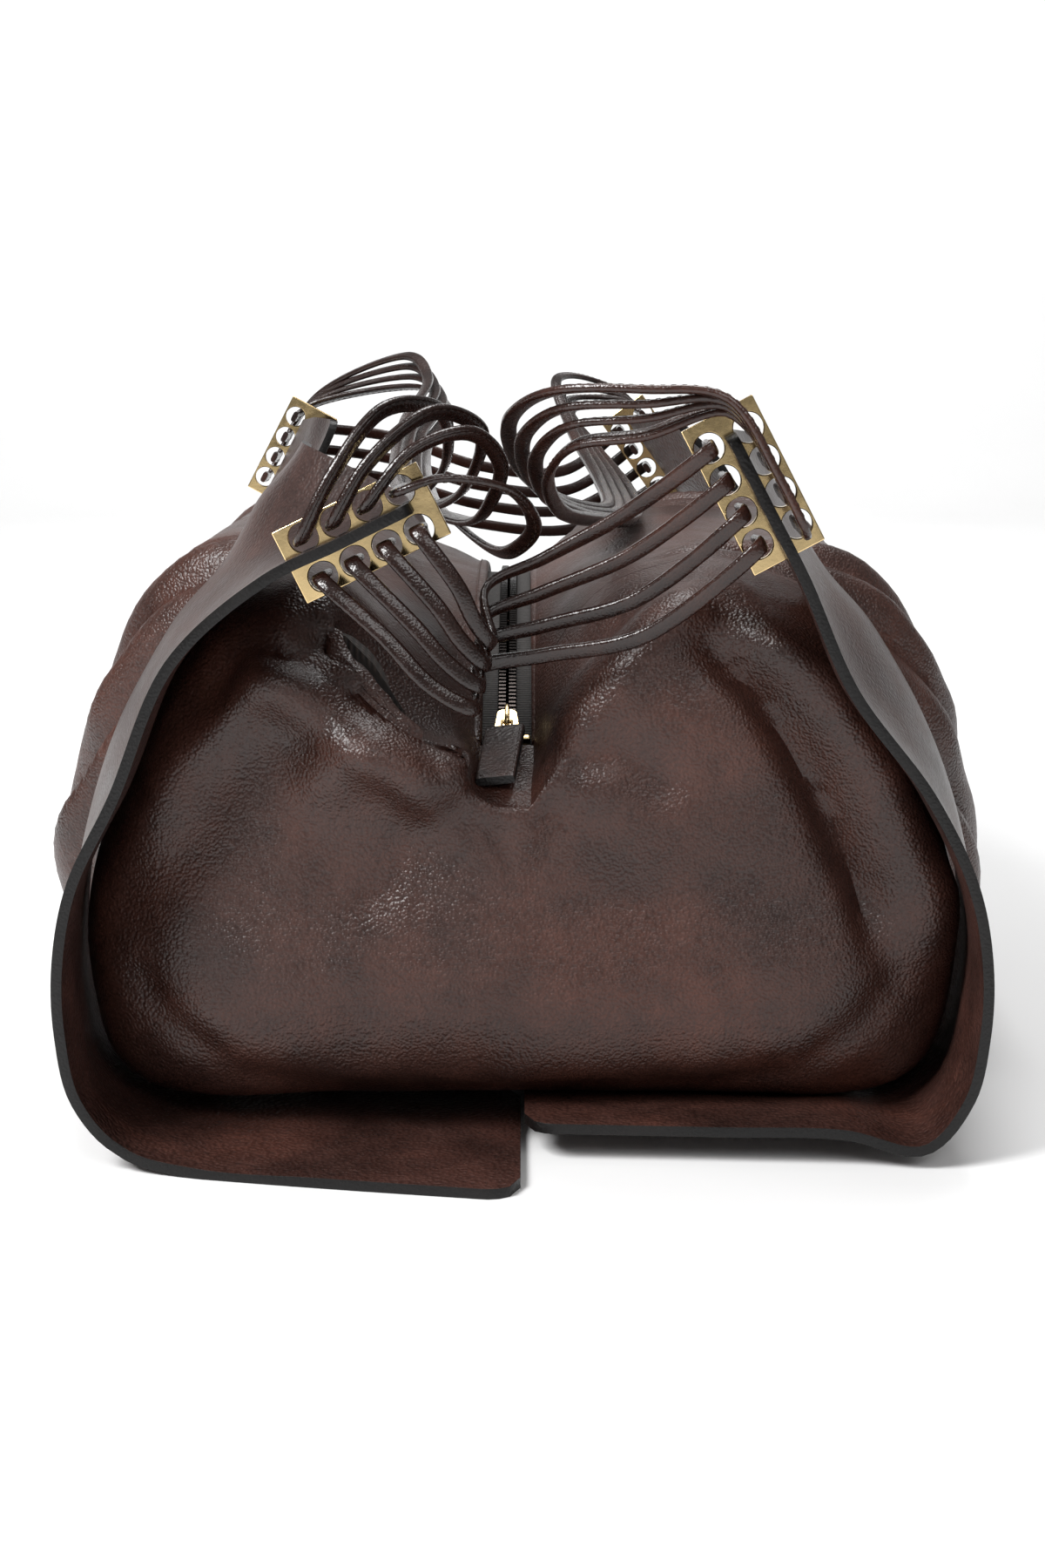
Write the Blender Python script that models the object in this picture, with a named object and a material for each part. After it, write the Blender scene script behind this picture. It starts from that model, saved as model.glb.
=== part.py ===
"""Soft leather handbag with a zipped valley along its top, four leather bands that wrap under
the body, a drilled metal plate in the tip of each band, and thin leather laces between them.

Frame: X across the bag, Y along it, Z up; the origin is under the middle of the bag, on the
surface it stands on. The end with the zip slider at rest is the near end, at -Y.
"""
import math

import bpy
import bmesh
from mathutils import Vector

# Body
BODY_HALF_LENGTH = 0.183      # middle of the bag to the edge of an end panel's pillow
END_BULGE = 0.006             # how far the middle of an end panel swells past that
END_POWER = 8.0               # roundness of the ends; higher is boxier
END_SLIMMING = 0.10           # share of the width lost where the bands draw the body in
SLIMMING_FROM_Y = 0.070
SLIMMING_TO_Y = 0.130
NOTCH_FADE = 0.80             # the valley fades out of an end panel below this fullness
NOTCH_DEEPENS = 0.06          # share that the valley deepens by just past the zip's end
NOTCH_STEP = 0.014
CENTRE_Z = 0.078              # height of the middle of an end panel
SHOULDER_Z = 0.176
SEAM_Y = 0.128                # seams between side and end panels, hidden under the bands
LEATHER = 0.0024              # thickness of the body panels
LINING_FROM_EDGE = 0.0105     # the lining starts this far from the leather's edge at the zip
LINING_OUTER_SCALE = (0.972, 0.972, 0.880)    # the lining's faces are the body's outer face
LINING_INNER_SCALE = (0.964, 0.966, 0.866)    # shrunk towards the middle of the bag
LINING_LAST_Y = 0.170         # the lining follows the body this far and is closed by shallow caps
LINING_CAPS = ((0.1725, 0.60), (0.1765, 0.25), (0.1780, 0.0))    # place along Y, share of its size
SEAM_GAP = 0.0002             # half the gap between panels that meet
HALF_SECTION = [              # from the shoulder's top down to the middle of the base
    (0.066, 0.178), (0.098, 0.171), (0.120, 0.152), (0.140, 0.118),
    (0.157, 0.072), (0.156, 0.040), (0.148, 0.018), (0.126, 0.0074), (0.062, 0.0054), (0.0, 0.0054)]
VALLEY_WALL = {               # from the zip's edge: place across and share of the rise
    1: ((0.0136, 0.29), (0.0325, 0.80)), -1: ((0.0155, 0.13), (0.0355, 0.50))}
BASE_SEAM_COLUMN = 10
SECTION_COLUMNS = 14
SHIFTED_COLUMNS = 6           # this many columns from the zip follow its offset to one side

# Zip: an arc in the YZ plane, low at both ends
ZIP_X = -0.005
ZIP_END_Y = 0.150
ZIP_CROWN_Z = 0.160
ZIP_ARC_RADIUS = 0.308
ZIP_SLOT = 0.0085             # half the gap between the leather edges
TAPE_EDGE = 0.0145            # half the width of both tapes
TAPE_INNER = 0.0026
TAPE_TOP = -0.0031            # heights from here on are measured from the zip's arc
TAPE_THICKNESS = 0.0007
TEETH_INNER = 0.0006
TEETH_OUTER = 0.0032
TEETH_TOP = -0.0006
STOP_INNER = 0.0024           # the end stops bridge the teeth's ends and stand on the tapes
STOP_OUTER = 0.0079
SLIDER_REST_Y = -0.1410
SLIDER_HALF_WIDTH = 0.0042
PIVOT_HEIGHT = 0.0030         # pull's pivot above the slider's top plate
BRIDGE_HALF_WIDTH = 0.0010
LINK_DROOP_DEG = -9.5         # below the tangent of the zip's arc
LINK_HALF_WIDTH = 0.0020
LINK_THICKNESS = 0.0011
LINK_END = -0.0125
TAB_START = -0.0048           # distances from the pivot, towards the tab's tip
TAB_END = -0.0385
TAB_HALF_WIDTH = 0.0064
TAB_THICKNESS = 0.0034

# Bands
BAND_END_Y = 0.210            # outer edge of each band
BAND_WIDTH = 0.088
BAND_THICKNESS = 0.0044
SLIT_FROM_EDGE = 0.008
SLIT_WIDTH = 0.0026
TIP_STRAIGHT = 0.047          # straight stretch of a band below its tip
FLARE_START = 0.013           # the band flares outwards from this far behind its edge

# Plates
PLATE_LENGTH = 0.047
PLATE_WIDTH = 0.023
PLATE_THICKNESS = 0.0020
PLATE_PAST_TIP = 0.007
HOLE_DIAMETER = 0.0088
HOLE_PITCH = 0.0104
HOLE_ROW_OFFSET = 0.00635
HOLES_PER_ROW = 4
HOLE_SIDES = 12

# Laces
LACE_DIAMETER = 0.0034
LACE_STEP = 0.0110

CURVE_STEPS = 24              # fine steps between two waypoints of a smooth path
SIDES = {"left": -1, "right": 1}
ENDS = {"near": -1, "far": 1}
GAP = 0.0003
COLOURS = {
    "leather": ((0.045, 0.020, 0.014), 0.38, 0.0),
    "band_leather": ((0.040, 0.019, 0.014), 0.45, 0.0),
    "lace_leather": ((0.050, 0.022, 0.016), 0.30, 0.0),
    "lining": ((0.030, 0.022, 0.018), 0.85, 0.0),
    "tape": ((0.022, 0.016, 0.014), 0.80, 0.0),
    "dark_metal": ((0.050, 0.042, 0.038), 0.30, 1.0),
    "gold": ((0.830, 0.600, 0.270), 0.18, 1.0),
}


# ---------------------------------------------------------------- scene and mesh helpers

def clear_scene():
    for old in list(bpy.data.objects):
        bpy.data.objects.remove(old, do_unlink=True)


def material(kind, name):
    colour, roughness, metallic = COLOURS[kind]
    mat = bpy.data.materials.new(name)
    mat.use_nodes = True
    shader = mat.node_tree.nodes["Principled BSDF"]
    shader.inputs["Base Color"].default_value = (*colour, 1.0)
    shader.inputs["Roughness"].default_value = roughness
    shader.inputs["Metallic"].default_value = metallic
    return mat


def add_object(name, data, kind):
    data.materials.append(material(kind, name))
    thing = bpy.data.objects.new(name, data)
    bpy.context.scene.collection.objects.link(thing)
    return thing


def mesh_object(name, verts, faces, kind, smooth=True):
    """A closed mesh; points that coincide are merged and the faces are turned outwards."""
    bm = bmesh.new()
    made = [bm.verts.new(v) for v in verts]
    for face in faces:
        bm.faces.new([made[i] for i in face])
    bmesh.ops.remove_doubles(bm, verts=bm.verts, dist=1e-6)
    bmesh.ops.delete(bm, geom=[v for v in bm.verts if not v.link_faces], context="VERTS")
    bmesh.ops.recalc_face_normals(bm, faces=bm.faces)
    mesh = bpy.data.meshes.new(name)
    bm.to_mesh(mesh)
    bm.free()
    if smooth:
        mesh.shade_smooth()
        mesh.set_sharp_from_angle(angle=math.radians(35))
    return add_object(name, mesh, kind)


def slab(name, outer, inner, kind, missing=lambda row, column: False):
    """A closed sheet between two grids of points; missing cells are left open."""
    rows, columns = len(outer), len(outer[0])
    verts = [p for grid in (outer, inner) for row in grid for p in row]
    under = rows * columns

    def at(row, column):
        return row * columns + column

    faces, edges = [], {}
    for r in range(rows - 1):
        for c in range(columns - 1):
            if missing(r, c):
                continue
            loop = [at(r, c), at(r, c + 1), at(r + 1, c + 1), at(r + 1, c)]
            faces.append(loop)
            faces.append([i + under for i in reversed(loop)])
            for a, b in zip(loop, loop[1:] + loop[:1]):
                key = tuple(round(x, 6) for p in sorted((tuple(verts[a]), tuple(verts[b]))) for x in p)
                edges.setdefault(key, []).append((a, b))
    for uses in edges.values():
        a, b = uses[0]
        if len(uses) == 1 and (verts[a] - verts[b]).length > 1e-6:
            faces.append([b, a, a + under, b + under])
    return mesh_object(name, verts, faces, kind)


def smoothstep(t):
    t = min(1.0, max(0.0, t))
    return t * t * (3.0 - 2.0 * t)


def smooth_path(points, count, first=None):
    """count points along a smooth curve through the given ones, evenly spaced after the first step."""
    pts = [Vector(p) for p in points]
    pts = [2 * pts[0] - pts[1]] + pts + [2 * pts[-1] - pts[-2]]
    fine = []
    for a, b, c, d in zip(pts, pts[1:], pts[2:], pts[3:]):
        before, here, after = (math.sqrt(max((q - p).length, 1e-6))
                               for p, q in ((a, b), (b, c), (c, d)))
        leave = c - b + here * ((b - a) / before - (c - a) / (before + here))
        arrive = c - b + here * ((d - c) / after - (d - b) / (here + after))
        for k in range(CURVE_STEPS):
            t = k / CURVE_STEPS
            fine.append(b + leave * t + (3 * (c - b) - 2 * leave - arrive) * t ** 2
                        + (2 * (b - c) + leave + arrive) * t ** 3)
    fine.append(pts[-2])
    lengths = [0.0]
    for a, b in zip(fine, fine[1:]):
        lengths.append(lengths[-1] + (b - a).length)
    step = lengths[-1] / (count - 1)
    wanted = [step * i for i in range(count)]
    if first is not None:
        step = (lengths[-1] - first) / (count - 2)
        wanted = [0.0] + [first + step * i for i in range(count - 1)]
    out, k = [], 0
    for want in wanted:
        while k < len(fine) - 2 and lengths[k + 1] < want:
            k += 1
        part = (want - lengths[k]) / max(lengths[k + 1] - lengths[k], 1e-9)
        out.append(fine[k].lerp(fine[k + 1], min(1.0, part)))
    return out


def path_length(points):
    return sum((b - a).length for a, b in zip(points, points[1:]))


# ---------------------------------------------------------------- body surface

def zip_height(y):
    """Height of the zip's arc."""
    return ZIP_CROWN_Z - ZIP_ARC_RADIUS + math.sqrt(ZIP_ARC_RADIUS ** 2 - y * y)


def fullness(y):
    """Share of the full section that is left at y: 1 in the middle, 0 at the very end."""
    return max(0.0, 1.0 - (abs(y) / BODY_HALF_LENGTH) ** END_POWER) ** (1.0 / END_POWER)


def y_at_fullness(full):
    return BODY_HALF_LENGTH * (1.0 - full ** END_POWER) ** (1.0 / END_POWER)


def end_notch():
    """Depth of the valley at the zip's end, as a share of the shoulder's height there."""
    shoulder = (SHOULDER_Z - CENTRE_Z) * fullness(ZIP_END_Y)
    return (shoulder + CENTRE_Z - zip_height(ZIP_END_Y)) / shoulder


def half_section(y, side):
    """One half of the section at y, from beside the zip down to the middle of the base."""
    full = fullness(y)
    past = min(1.0, full / fullness(ZIP_END_Y))
    drawn_in = smoothstep((abs(y) - SLIMMING_FROM_Y) / (SLIMMING_TO_Y - SLIMMING_FROM_Y))
    width = full * (1.0 - END_SLIMMING * drawn_in)
    shoulder = CENTRE_Z + (SHOULDER_Z - CENTRE_Z) * full
    valley = zip_height(y)
    if abs(y) > ZIP_END_Y:
        deeper = 1.0 + NOTCH_DEEPENS * smoothstep((abs(y) - ZIP_END_Y) / NOTCH_STEP)
        notch = end_notch() * deeper * smoothstep(full / NOTCH_FADE)
        valley = shoulder - (shoulder - CENTRE_Z) * notch
    rise = shoulder - valley
    (foot_x, foot), (wall_x, wall) = VALLEY_WALL[side]
    points = [(ZIP_SLOT * past, valley), (foot_x * past, valley + foot * rise),
              (wall_x * width, valley + wall * rise)]
    points += [(x * width, CENTRE_Z + (z - CENTRE_Z) * full) for x, z in HALF_SECTION]
    points = [(x, 0.0, z) for x, z in points]
    return smooth_path(points, SECTION_COLUMNS + 1, first=LINING_FROM_EDGE * past)


def section(y):
    """The whole section at y: from the zip's right edge round the base to its left edge."""
    end = math.copysign(1.0, y)
    full = fullness(y)
    past = min(1.0, full / fullness(ZIP_END_Y))
    swell = END_BULGE * max(0.0, 1.0 - (full / fullness(SEAM_Y)) ** 2)
    points = []
    for side in (1, -1):
        half = [Vector((side * p.x + ZIP_X * past * max(0.0, 1.0 - k / SHIFTED_COLUMNS),
                        y + end * swell, p.z)) for k, p in enumerate(half_section(y, side))]
        points += half if side > 0 else half[-2::-1]
    return points + [points[0].copy()]


def body_stations():
    """The sections' places, from the near end to the far end."""
    middle = [SEAM_Y - SEAM_GAP, 0.100, 0.065, 0.030]
    ends = [SEAM_Y + SEAM_GAP, 0.139, ZIP_END_Y]
    ends += [y_at_fullness(f) for f in (0.90, 0.80, 0.66, 0.50, 0.34, 0.16, 0.0)]
    half = sorted(ends, reverse=True) + middle
    return [-y for y in half] + [0.0] + half[::-1]


def normals(grid):
    """Outward unit normals of the body's grid of points."""
    rows, columns = len(grid), len(grid[0]) - 1
    out = []
    for r, row in enumerate(grid):
        above, below = grid[max(r - 1, 0)], grid[min(r + 1, rows - 1)]
        line = []
        for c in range(columns):
            before, after = row[(c - 1) % columns], row[(c + 1) % columns]
            if c == 0:
                before = row[0]
            if c == columns - 1:
                after = row[columns - 1]
            turned = (after - before).cross(below[c] - above[c])
            if r in (0, rows - 1) or turned.length < 1e-9:
                turned = Vector((0, -1 if r < rows / 2 else 1, 0))
            line.append(turned.normalized())
        out.append(line + [line[0]])
    return out


def inset(grid, directions, depth):
    return [[p - n * depth for p, n in zip(row, turned)] for row, turned in zip(grid, directions)]


def shrunk(p, scale):
    """A point drawn towards the middle of the bag."""
    return Vector((p.x * scale[0], p.y * scale[1], CENTRE_Z + (p.z - CENTRE_Z) * scale[2]))


def lining_face(outer, rows, scale):
    """One face of the lining: the body's sections shrunk, with a shallow cap at both ends."""
    grid = [[shrunk(p, scale) for p in outer[r]] for r in rows]
    near, far = [
        [[Vector((p.x * share, end * y * scale[1], CENTRE_Z + (p.z - CENTRE_Z) * share)) for p in row]
         for y, share in LINING_CAPS] for end, row in ((-1, grid[0]), (1, grid[-1]))]
    return near[::-1] + grid + far


def trimmed(grid, column, toward):
    """A copy whose column is pulled a seam gap towards a neighbouring column."""
    out = [[p.copy() for p in row] for row in grid]
    for row in out:
        step = row[toward] - row[column]
        if step.length > 1e-6:
            row[column] += step.normalized() * SEAM_GAP
    return out


def build_body():
    stations = body_stations()
    outer = [section(y) for y in stations]
    turned = normals(outer)
    inner = inset(outer, turned, LEATHER)
    last = len(outer[0]) - 1
    seam_rows = [i for i, y in enumerate(stations) if abs(abs(y) - SEAM_Y) < 2 * SEAM_GAP]
    near_seam, side_start, side_end, far_seam = seam_rows

    def closure_open(y_a, y_b):
        return min(abs(y_a), abs(y_b)) < ZIP_END_Y - 1e-6

    for end, rows in (("near", range(0, near_seam + 1)), ("far", range(far_seam, len(stations)))):
        places = [stations[r] for r in rows]

        def missing(row, column, places=places):
            return column == last - 1 and closure_open(places[row], places[row + 1])

        slab(f"{end}_end_panel", [outer[r] for r in rows], [inner[r] for r in rows], "leather", missing)

    rows = range(side_start, side_end + 1)
    left_base = last - 1 - BASE_SEAM_COLUMN
    cuts = {"right_side_panel": (0, BASE_SEAM_COLUMN), "left_side_panel": (left_base, last - 1),
            "base_panel": (BASE_SEAM_COLUMN, left_base)}
    for name, (start, stop) in cuts.items():
        grids = []
        for grid in (outer, inner):
            grid = trimmed(trimmed(grid, start, start + 1), stop, stop - 1)
            grids.append([grid[r][start:stop + 1] for r in rows])
        slab(name, *grids, "leather")

    rows = [r for r, y in enumerate(stations)
            if abs(y) < LINING_LAST_Y and r not in (side_start, side_end)]
    caps = [y for y, share in LINING_CAPS]
    places = [-y for y in caps[::-1]] + [stations[r] for r in rows] + caps
    slot_columns = {0, last - 2, last - 1}

    def slot(row, column):
        ends = min(abs(places[row]), abs(places[row + 1]))
        return column in slot_columns and ends < ZIP_END_Y + 1e-6

    slab("lining", lining_face(outer, rows, LINING_OUTER_SCALE),
         lining_face(outer, rows, LINING_INNER_SCALE), "lining", slot)


# ---------------------------------------------------------------- zip

def arc_point(x, angle, height):
    """A point beside the zip's arc: angle from the middle of the bag, height above the arc."""
    radius = ZIP_ARC_RADIUS + height
    return Vector((ZIP_X + x, radius * math.sin(angle),
                   ZIP_CROWN_Z - ZIP_ARC_RADIUS + radius * math.cos(angle)))


def arc_angle(y):
    return math.asin(y / ZIP_ARC_RADIUS)


def arc_bar(name, x_range, height_range, angle_range, pieces, kind):
    """A square bar that follows the zip's arc."""
    corners = [(x_range[0], height_range[0]), (x_range[1], height_range[0]),
               (x_range[1], height_range[1]), (x_range[0], height_range[1])]
    start, stop = angle_range
    verts = [arc_point(x, start + (stop - start) * i / pieces, h)
             for i in range(pieces + 1) for x, h in corners]
    faces = [[0, 1, 2, 3], [4 * pieces + k for k in (3, 2, 1, 0)]]
    for i in range(pieces):
        for k in range(4):
            a, b = 4 * i + k, 4 * i + (k + 1) % 4
            faces.append([a, b, b + 4, a + 4])
    return mesh_object(name, verts, faces, kind, smooth=False)


def union(target, others):
    """Boolean union of the others into the target; the others become hidden guides."""
    for other in others:
        other.hide_render = True
        other.display_type = "WIRE"
        joined = target.modifiers.new("union", "BOOLEAN")
        joined.operation = "UNION"
        joined.solver = "EXACT"
        joined.object = other
    return target


def difference(target, cutters):
    for cutter in cutters:
        cutter.hide_render = True
        cutter.display_type = "WIRE"
        cut = target.modifiers.new("cut", "BOOLEAN")
        cut.operation = "DIFFERENCE"
        cut.solver = "EXACT"
        cut.object = cutter
    return target


def build_zip():
    reach = arc_angle(ZIP_END_Y - 0.001)
    for side, sign in SIDES.items():
        tape = sorted((sign * TAPE_INNER, sign * TAPE_EDGE))
        arc_bar(f"zip_tape_{side}", tape, (TAPE_TOP - TAPE_THICKNESS, TAPE_TOP), (-reach, reach),
                20, "tape")
        teeth = sorted((sign * TEETH_INNER, sign * TEETH_OUTER))
        teeth_reach = reach - 0.012
        arc_bar(f"zip_teeth_{side}", teeth, (TAPE_TOP + GAP, TEETH_TOP), (-teeth_reach, teeth_reach),
                24, "dark_metal")
        for end, way in ENDS.items():
            angles = sorted((way * (teeth_reach + 0.0015), way * (teeth_reach + 0.0080)))
            stop_x = sorted((sign * STOP_INNER, sign * STOP_OUTER))
            arc_bar(f"zip_stop_{end}_{side}", stop_x, (TAPE_TOP + GAP, TEETH_TOP + 0.0006), angles,
                    1, "gold")


def slider_bar(name, x_half, height_range, y_range, kind="gold"):
    """A bar on the slider, placed by its distance along the zip from the slider's middle."""
    middle = arc_angle(SLIDER_REST_Y)
    angles = [middle + y / ZIP_ARC_RADIUS for y in y_range]
    return arc_bar(name, (-x_half, x_half), height_range, angles, 1, kind)


def build_slider():
    top_low = TEETH_TOP + GAP
    bottom_high = TAPE_TOP - TAPE_THICKNESS - GAP
    pivot = top_low + PIVOT_HEIGHT
    half = BRIDGE_HALF_WIDTH
    slider = slider_bar("zip_slider", SLIDER_HALF_WIDTH, (top_low, top_low + 0.0013), (-0.0056, 0.0065))
    post = slider_bar("slider_post_guide", TEETH_INNER - GAP,
                      (bottom_high - 0.0005, top_low + 0.0006), (-0.0020, 0.0020))
    bottom = slider_bar("slider_bottom_guide", SLIDER_HALF_WIDTH - 0.0004,
                        (bottom_high - 0.0010, bottom_high), (-0.0052, 0.0060))
    front = slider_bar("bridge_front_guide", half, (top_low + 0.0007, pivot + 0.0016),
                       (-0.0050, -0.0038))
    back = slider_bar("bridge_back_guide", half, (top_low + 0.0007, pivot + 0.0016),
                      (0.0038, 0.0050))
    bridge = slider_bar("bridge_guide", half - 0.00005, (pivot + 0.0010, pivot + 0.0022),
                        (-0.0049, 0.0049))
    union(slider, [post, bottom, front, back, bridge])


def box(name, low, high, kind):
    verts = [Vector((x, y, z)) for z in (low[2], high[2]) for y in (low[1], high[1])
             for x in (low[0], high[0])]
    faces = [[0, 1, 3, 2], [4, 5, 7, 6], [0, 1, 5, 4], [2, 3, 7, 6], [0, 2, 6, 4], [1, 3, 7, 5]]
    return mesh_object(name, verts, faces, kind, smooth=False)


def build_pull():
    """The link and the leather tab that is sewn round its tail; both turn on the bridge."""
    pivot = bpy.data.objects.new("pull_pivot", None)
    bpy.context.scene.collection.objects.link(pivot)
    angle = arc_angle(SLIDER_REST_Y)
    pivot.location = arc_point(0.0, angle - 0.0028 / ZIP_ARC_RADIUS, TEETH_TOP + GAP + PIVOT_HEIGHT)
    pivot.rotation_euler = (math.radians(LINK_DROOP_DEG) - angle, 0.0, 0.0)
    half, thick = LINK_HALF_WIDTH, LINK_THICKNESS / 2
    link = box("pull_link", (-half, LINK_END, -thick), (half, 0.0008, thick), "gold")
    window = box("link_window_guide", (-0.0013, -0.0040, -0.002), (0.0013, -0.0006, 0.002), "gold")
    difference(link, [window])
    thick = TAB_THICKNESS / 2
    tab = box("pull_tab", (-TAB_HALF_WIDTH, TAB_END, -thick), (TAB_HALF_WIDTH, TAB_START, thick),
              "leather")
    pocket = box("tab_pocket_guide",
                 (-half - GAP, LINK_END - GAP, -LINK_THICKNESS / 2 - GAP),
                 (half + GAP, TAB_START + 0.001, LINK_THICKNESS / 2 + GAP), "leather")
    difference(tab, [pocket])
    for piece in (link, window, tab, pocket):
        piece.parent = pivot


# ---------------------------------------------------------------- bands and plates

FLAP_END_X = 0.0006           # the flaps of two facing bands almost meet under the bag
FLAP_HINGE_X = 0.122          # a flap starts to swing here, where the band turns under the bag
FLAP_TOP_Z = 0.015
BAND_ROWS = 26
BAND_CENTRE_Z = BAND_THICKNESS / 2
LOWER_EDGE = [(0.120, 0.115), (0.1335, 0.088), (0.1385, 0.064), (0.1385, 0.042), (0.1345, 0.022),
              (0.122, 0.0070)]
LOWER_BACK = [(0.1325, 0.119), (0.1455, 0.074), (0.1455, 0.036), (0.137, 0.0135)]
# side, end: tip at the outer edge, slope there in degrees, shoulder of that edge, tip at the back
# edge, height of the flap's outer edge above the ground, how far the flap's end has swung outwards
# along the bag
BANDS = {
    ("left", "near"): ((0.032, 0.200), 26.0, (0.102, 0.155), (0.074, 0.217), 0.0, 0.0245),
    ("right", "near"): ((0.059, 0.221), 62.0, (0.096, 0.147), (0.073, 0.217), 0.0045, -0.008),
    ("left", "far"): ((0.099, 0.206), 62.0, (0.1245, 0.146), (0.086, 0.211), 0.0, -0.010),
    ("right", "far"): ((0.050, 0.206), 54.0, (0.096, 0.145), (0.070, 0.214), 0.0, 0.0245),
}


def tip_direction(slope):
    """From the tip down the band, in the plane across the bag, for a band on the right."""
    return Vector((math.cos(math.radians(slope)), 0.0, -math.sin(math.radians(slope))))


def band_profiles(spec):
    """The outer edge and the back edge of a band, as if it were on the right."""
    tip, slope, shoulder, back_tip, lift, _ = spec
    start = Vector((tip[0], 0.0, tip[1]))
    down = tip_direction(slope)
    edge = [start, start + down * TIP_STRAIGHT * 0.5, start + down * TIP_STRAIGHT]
    rest = [shoulder] + LOWER_EDGE + [(0.098, BAND_CENTRE_Z + lift), (0.060, BAND_CENTRE_Z + lift),
                                      (FLAP_END_X, BAND_CENTRE_Z + lift)]
    edge += [Vector((x, 0.0, z)) for x, z in rest]
    back = [back_tip, (0.094, 0.177), (0.1135, 0.1545)] + LOWER_BACK
    back += [(0.103, BAND_CENTRE_Z), (0.060, BAND_CENTRE_Z), (FLAP_END_X, BAND_CENTRE_Z)]
    back = [Vector((x, 0.0, z)) for x, z in back]
    slit = PLATE_LENGTH - PLATE_PAST_TIP + GAP
    return smooth_path(edge, BAND_ROWS, first=slit), smooth_path(back, BAND_ROWS, first=slit)


def faces_of_sheet(path, thickness):
    """Points on both faces of a sheet whose middle follows a path across the bag."""
    outer, inner = [], []
    for k, p in enumerate(path):
        along = path[min(k + 1, len(path) - 1)] - path[max(k - 1, 0)]
        out = Vector((-along.z, 0.0, along.x)).normalized() * thickness / 2
        for face, point in ((outer, p + out), (inner, p - out)):
            point.z = max(point.z, 0.0)
            face.append(point)
    return outer, inner


def flap_swing(p, swing):
    """How far a point of a band is moved outwards by the flap's swing under the bag."""
    if p.z > FLAP_TOP_Z:
        return 0.0
    return swing * min(1.0, max(0.0, 1.0 - p.x / FLAP_HINGE_X)) ** 0.8


def build_band(side, end, spec):
    edge, back = band_profiles(spec)
    depths = [0.0, SLIT_FROM_EDGE, SLIT_FROM_EDGE + SLIT_WIDTH, 0.032, 0.058, BAND_WIDTH]
    grids = [[], []]
    for depth in depths:
        share = smoothstep((depth - FLARE_START) / (BAND_WIDTH - FLARE_START))
        path = [a.lerp(b, share) for a, b in zip(edge, back)]
        for grid, face in zip(grids, faces_of_sheet(path, BAND_THICKNESS)):
            grid.append([Vector((SIDES[side] * p.x,
                                 ENDS[end] * (BAND_END_Y - depth + flap_swing(p, spec[-1])), p.z))
                         for p in face])

    def slit(row, column):
        return row == 1 and column == 0

    slab(f"band_{end}_{side}", *grids, "band_leather", slit)


def plate_frame(side, end):
    """The middle of a plate, its direction down the band and its direction out of the band."""
    tip, slope = BANDS[side, end][:2]
    sign = SIDES[side]
    down = tip_direction(slope)
    down.x *= sign
    out = Vector((-down.z * sign, 0.0, down.x * sign))
    plane_y = ENDS[end] * (BAND_END_Y - SLIT_FROM_EDGE - SLIT_WIDTH / 2)
    middle = Vector((sign * tip[0], plane_y, tip[1]))
    return middle + down * (PLATE_LENGTH / 2 - PLATE_PAST_TIP), down, out


def hole_centre(side, end, row, k):
    """Row "outer" lies above the band and "inner" below it; hole 0 is nearest the tip."""
    middle, down, out = plate_frame(side, end)
    offset = HOLE_ROW_OFFSET if row == "outer" else -HOLE_ROW_OFFSET
    return middle + out * offset + down * (k - (HOLES_PER_ROW - 1) / 2) * HOLE_PITCH


def build_plate(side, end):
    """A flat plate with two rows of round holes, built as a ring of faces round each hole."""
    middle, down, out = plate_frame(side, end)
    half_x, half_z = PLATE_LENGTH / 2, PLATE_WIDTH / 2
    cuts_x = [-half_x] + [(k - 1) * HOLE_PITCH for k in range(HOLES_PER_ROW - 1)] + [half_x]
    cuts_z = [-half_z, 0.0, half_z]
    verts, faces = [], []

    def add(x, z, depth):
        verts.append(middle + down * x + out * z + Vector((0.0, depth, 0.0)))
        return len(verts) - 1

    for i, (x0, x1) in enumerate(zip(cuts_x, cuts_x[1:])):
        for j, (z0, z1) in enumerate(zip(cuts_z, cuts_z[1:])):
            cx = (i - (HOLES_PER_ROW - 1) / 2) * HOLE_PITCH
            cz = (-1, 1)[j] * HOLE_ROW_OFFSET
            corners = [(x1, z1), (x0, z1), (x0, z0), (x1, z0)]
            layers = []
            for depth in (-PLATE_THICKNESS / 2, PLATE_THICKNESS / 2):
                square = [add(x, z, depth) for x, z in corners]
                turn = [math.tau * (k + 0.5) / HOLE_SIDES for k in range(HOLE_SIDES)]
                round_hole = [add(cx + HOLE_DIAMETER / 2 * math.cos(t),
                                  cz + HOLE_DIAMETER / 2 * math.sin(t), depth) for t in turn]
                layers.append((square, round_hole))
            quarter = HOLE_SIDES // 4
            for square, hole in layers:
                for q in range(4):
                    arc = [hole[(q * quarter + k) % HOLE_SIDES] for k in range(quarter)]
                    nxt = hole[((q + 1) * quarter) % HOLE_SIDES]
                    for a, b in zip(arc, arc[1:]):
                        faces.append([square[q], a, b])
                    faces.append([square[q], arc[-1], nxt, square[(q + 1) % 4]])
            (front_square, front_hole), (back_square, back_hole) = layers
            for k in range(HOLE_SIDES):
                n = (k + 1) % HOLE_SIDES
                faces.append([front_hole[k], front_hole[n], back_hole[n], back_hole[k]])
            outer_sides = [(j == 1, 0), (i == 0, 1), (j == 0, 2), (i == HOLES_PER_ROW - 1, 3)]
            for is_outside, q in outer_sides:
                if is_outside:
                    n = (q + 1) % 4
                    faces.append([front_square[q], front_square[n], back_square[n], back_square[q]])
    mesh_object(f"plate_{end}_{side}", verts, faces, "gold", smooth=False)


# ---------------------------------------------------------------- laces

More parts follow.
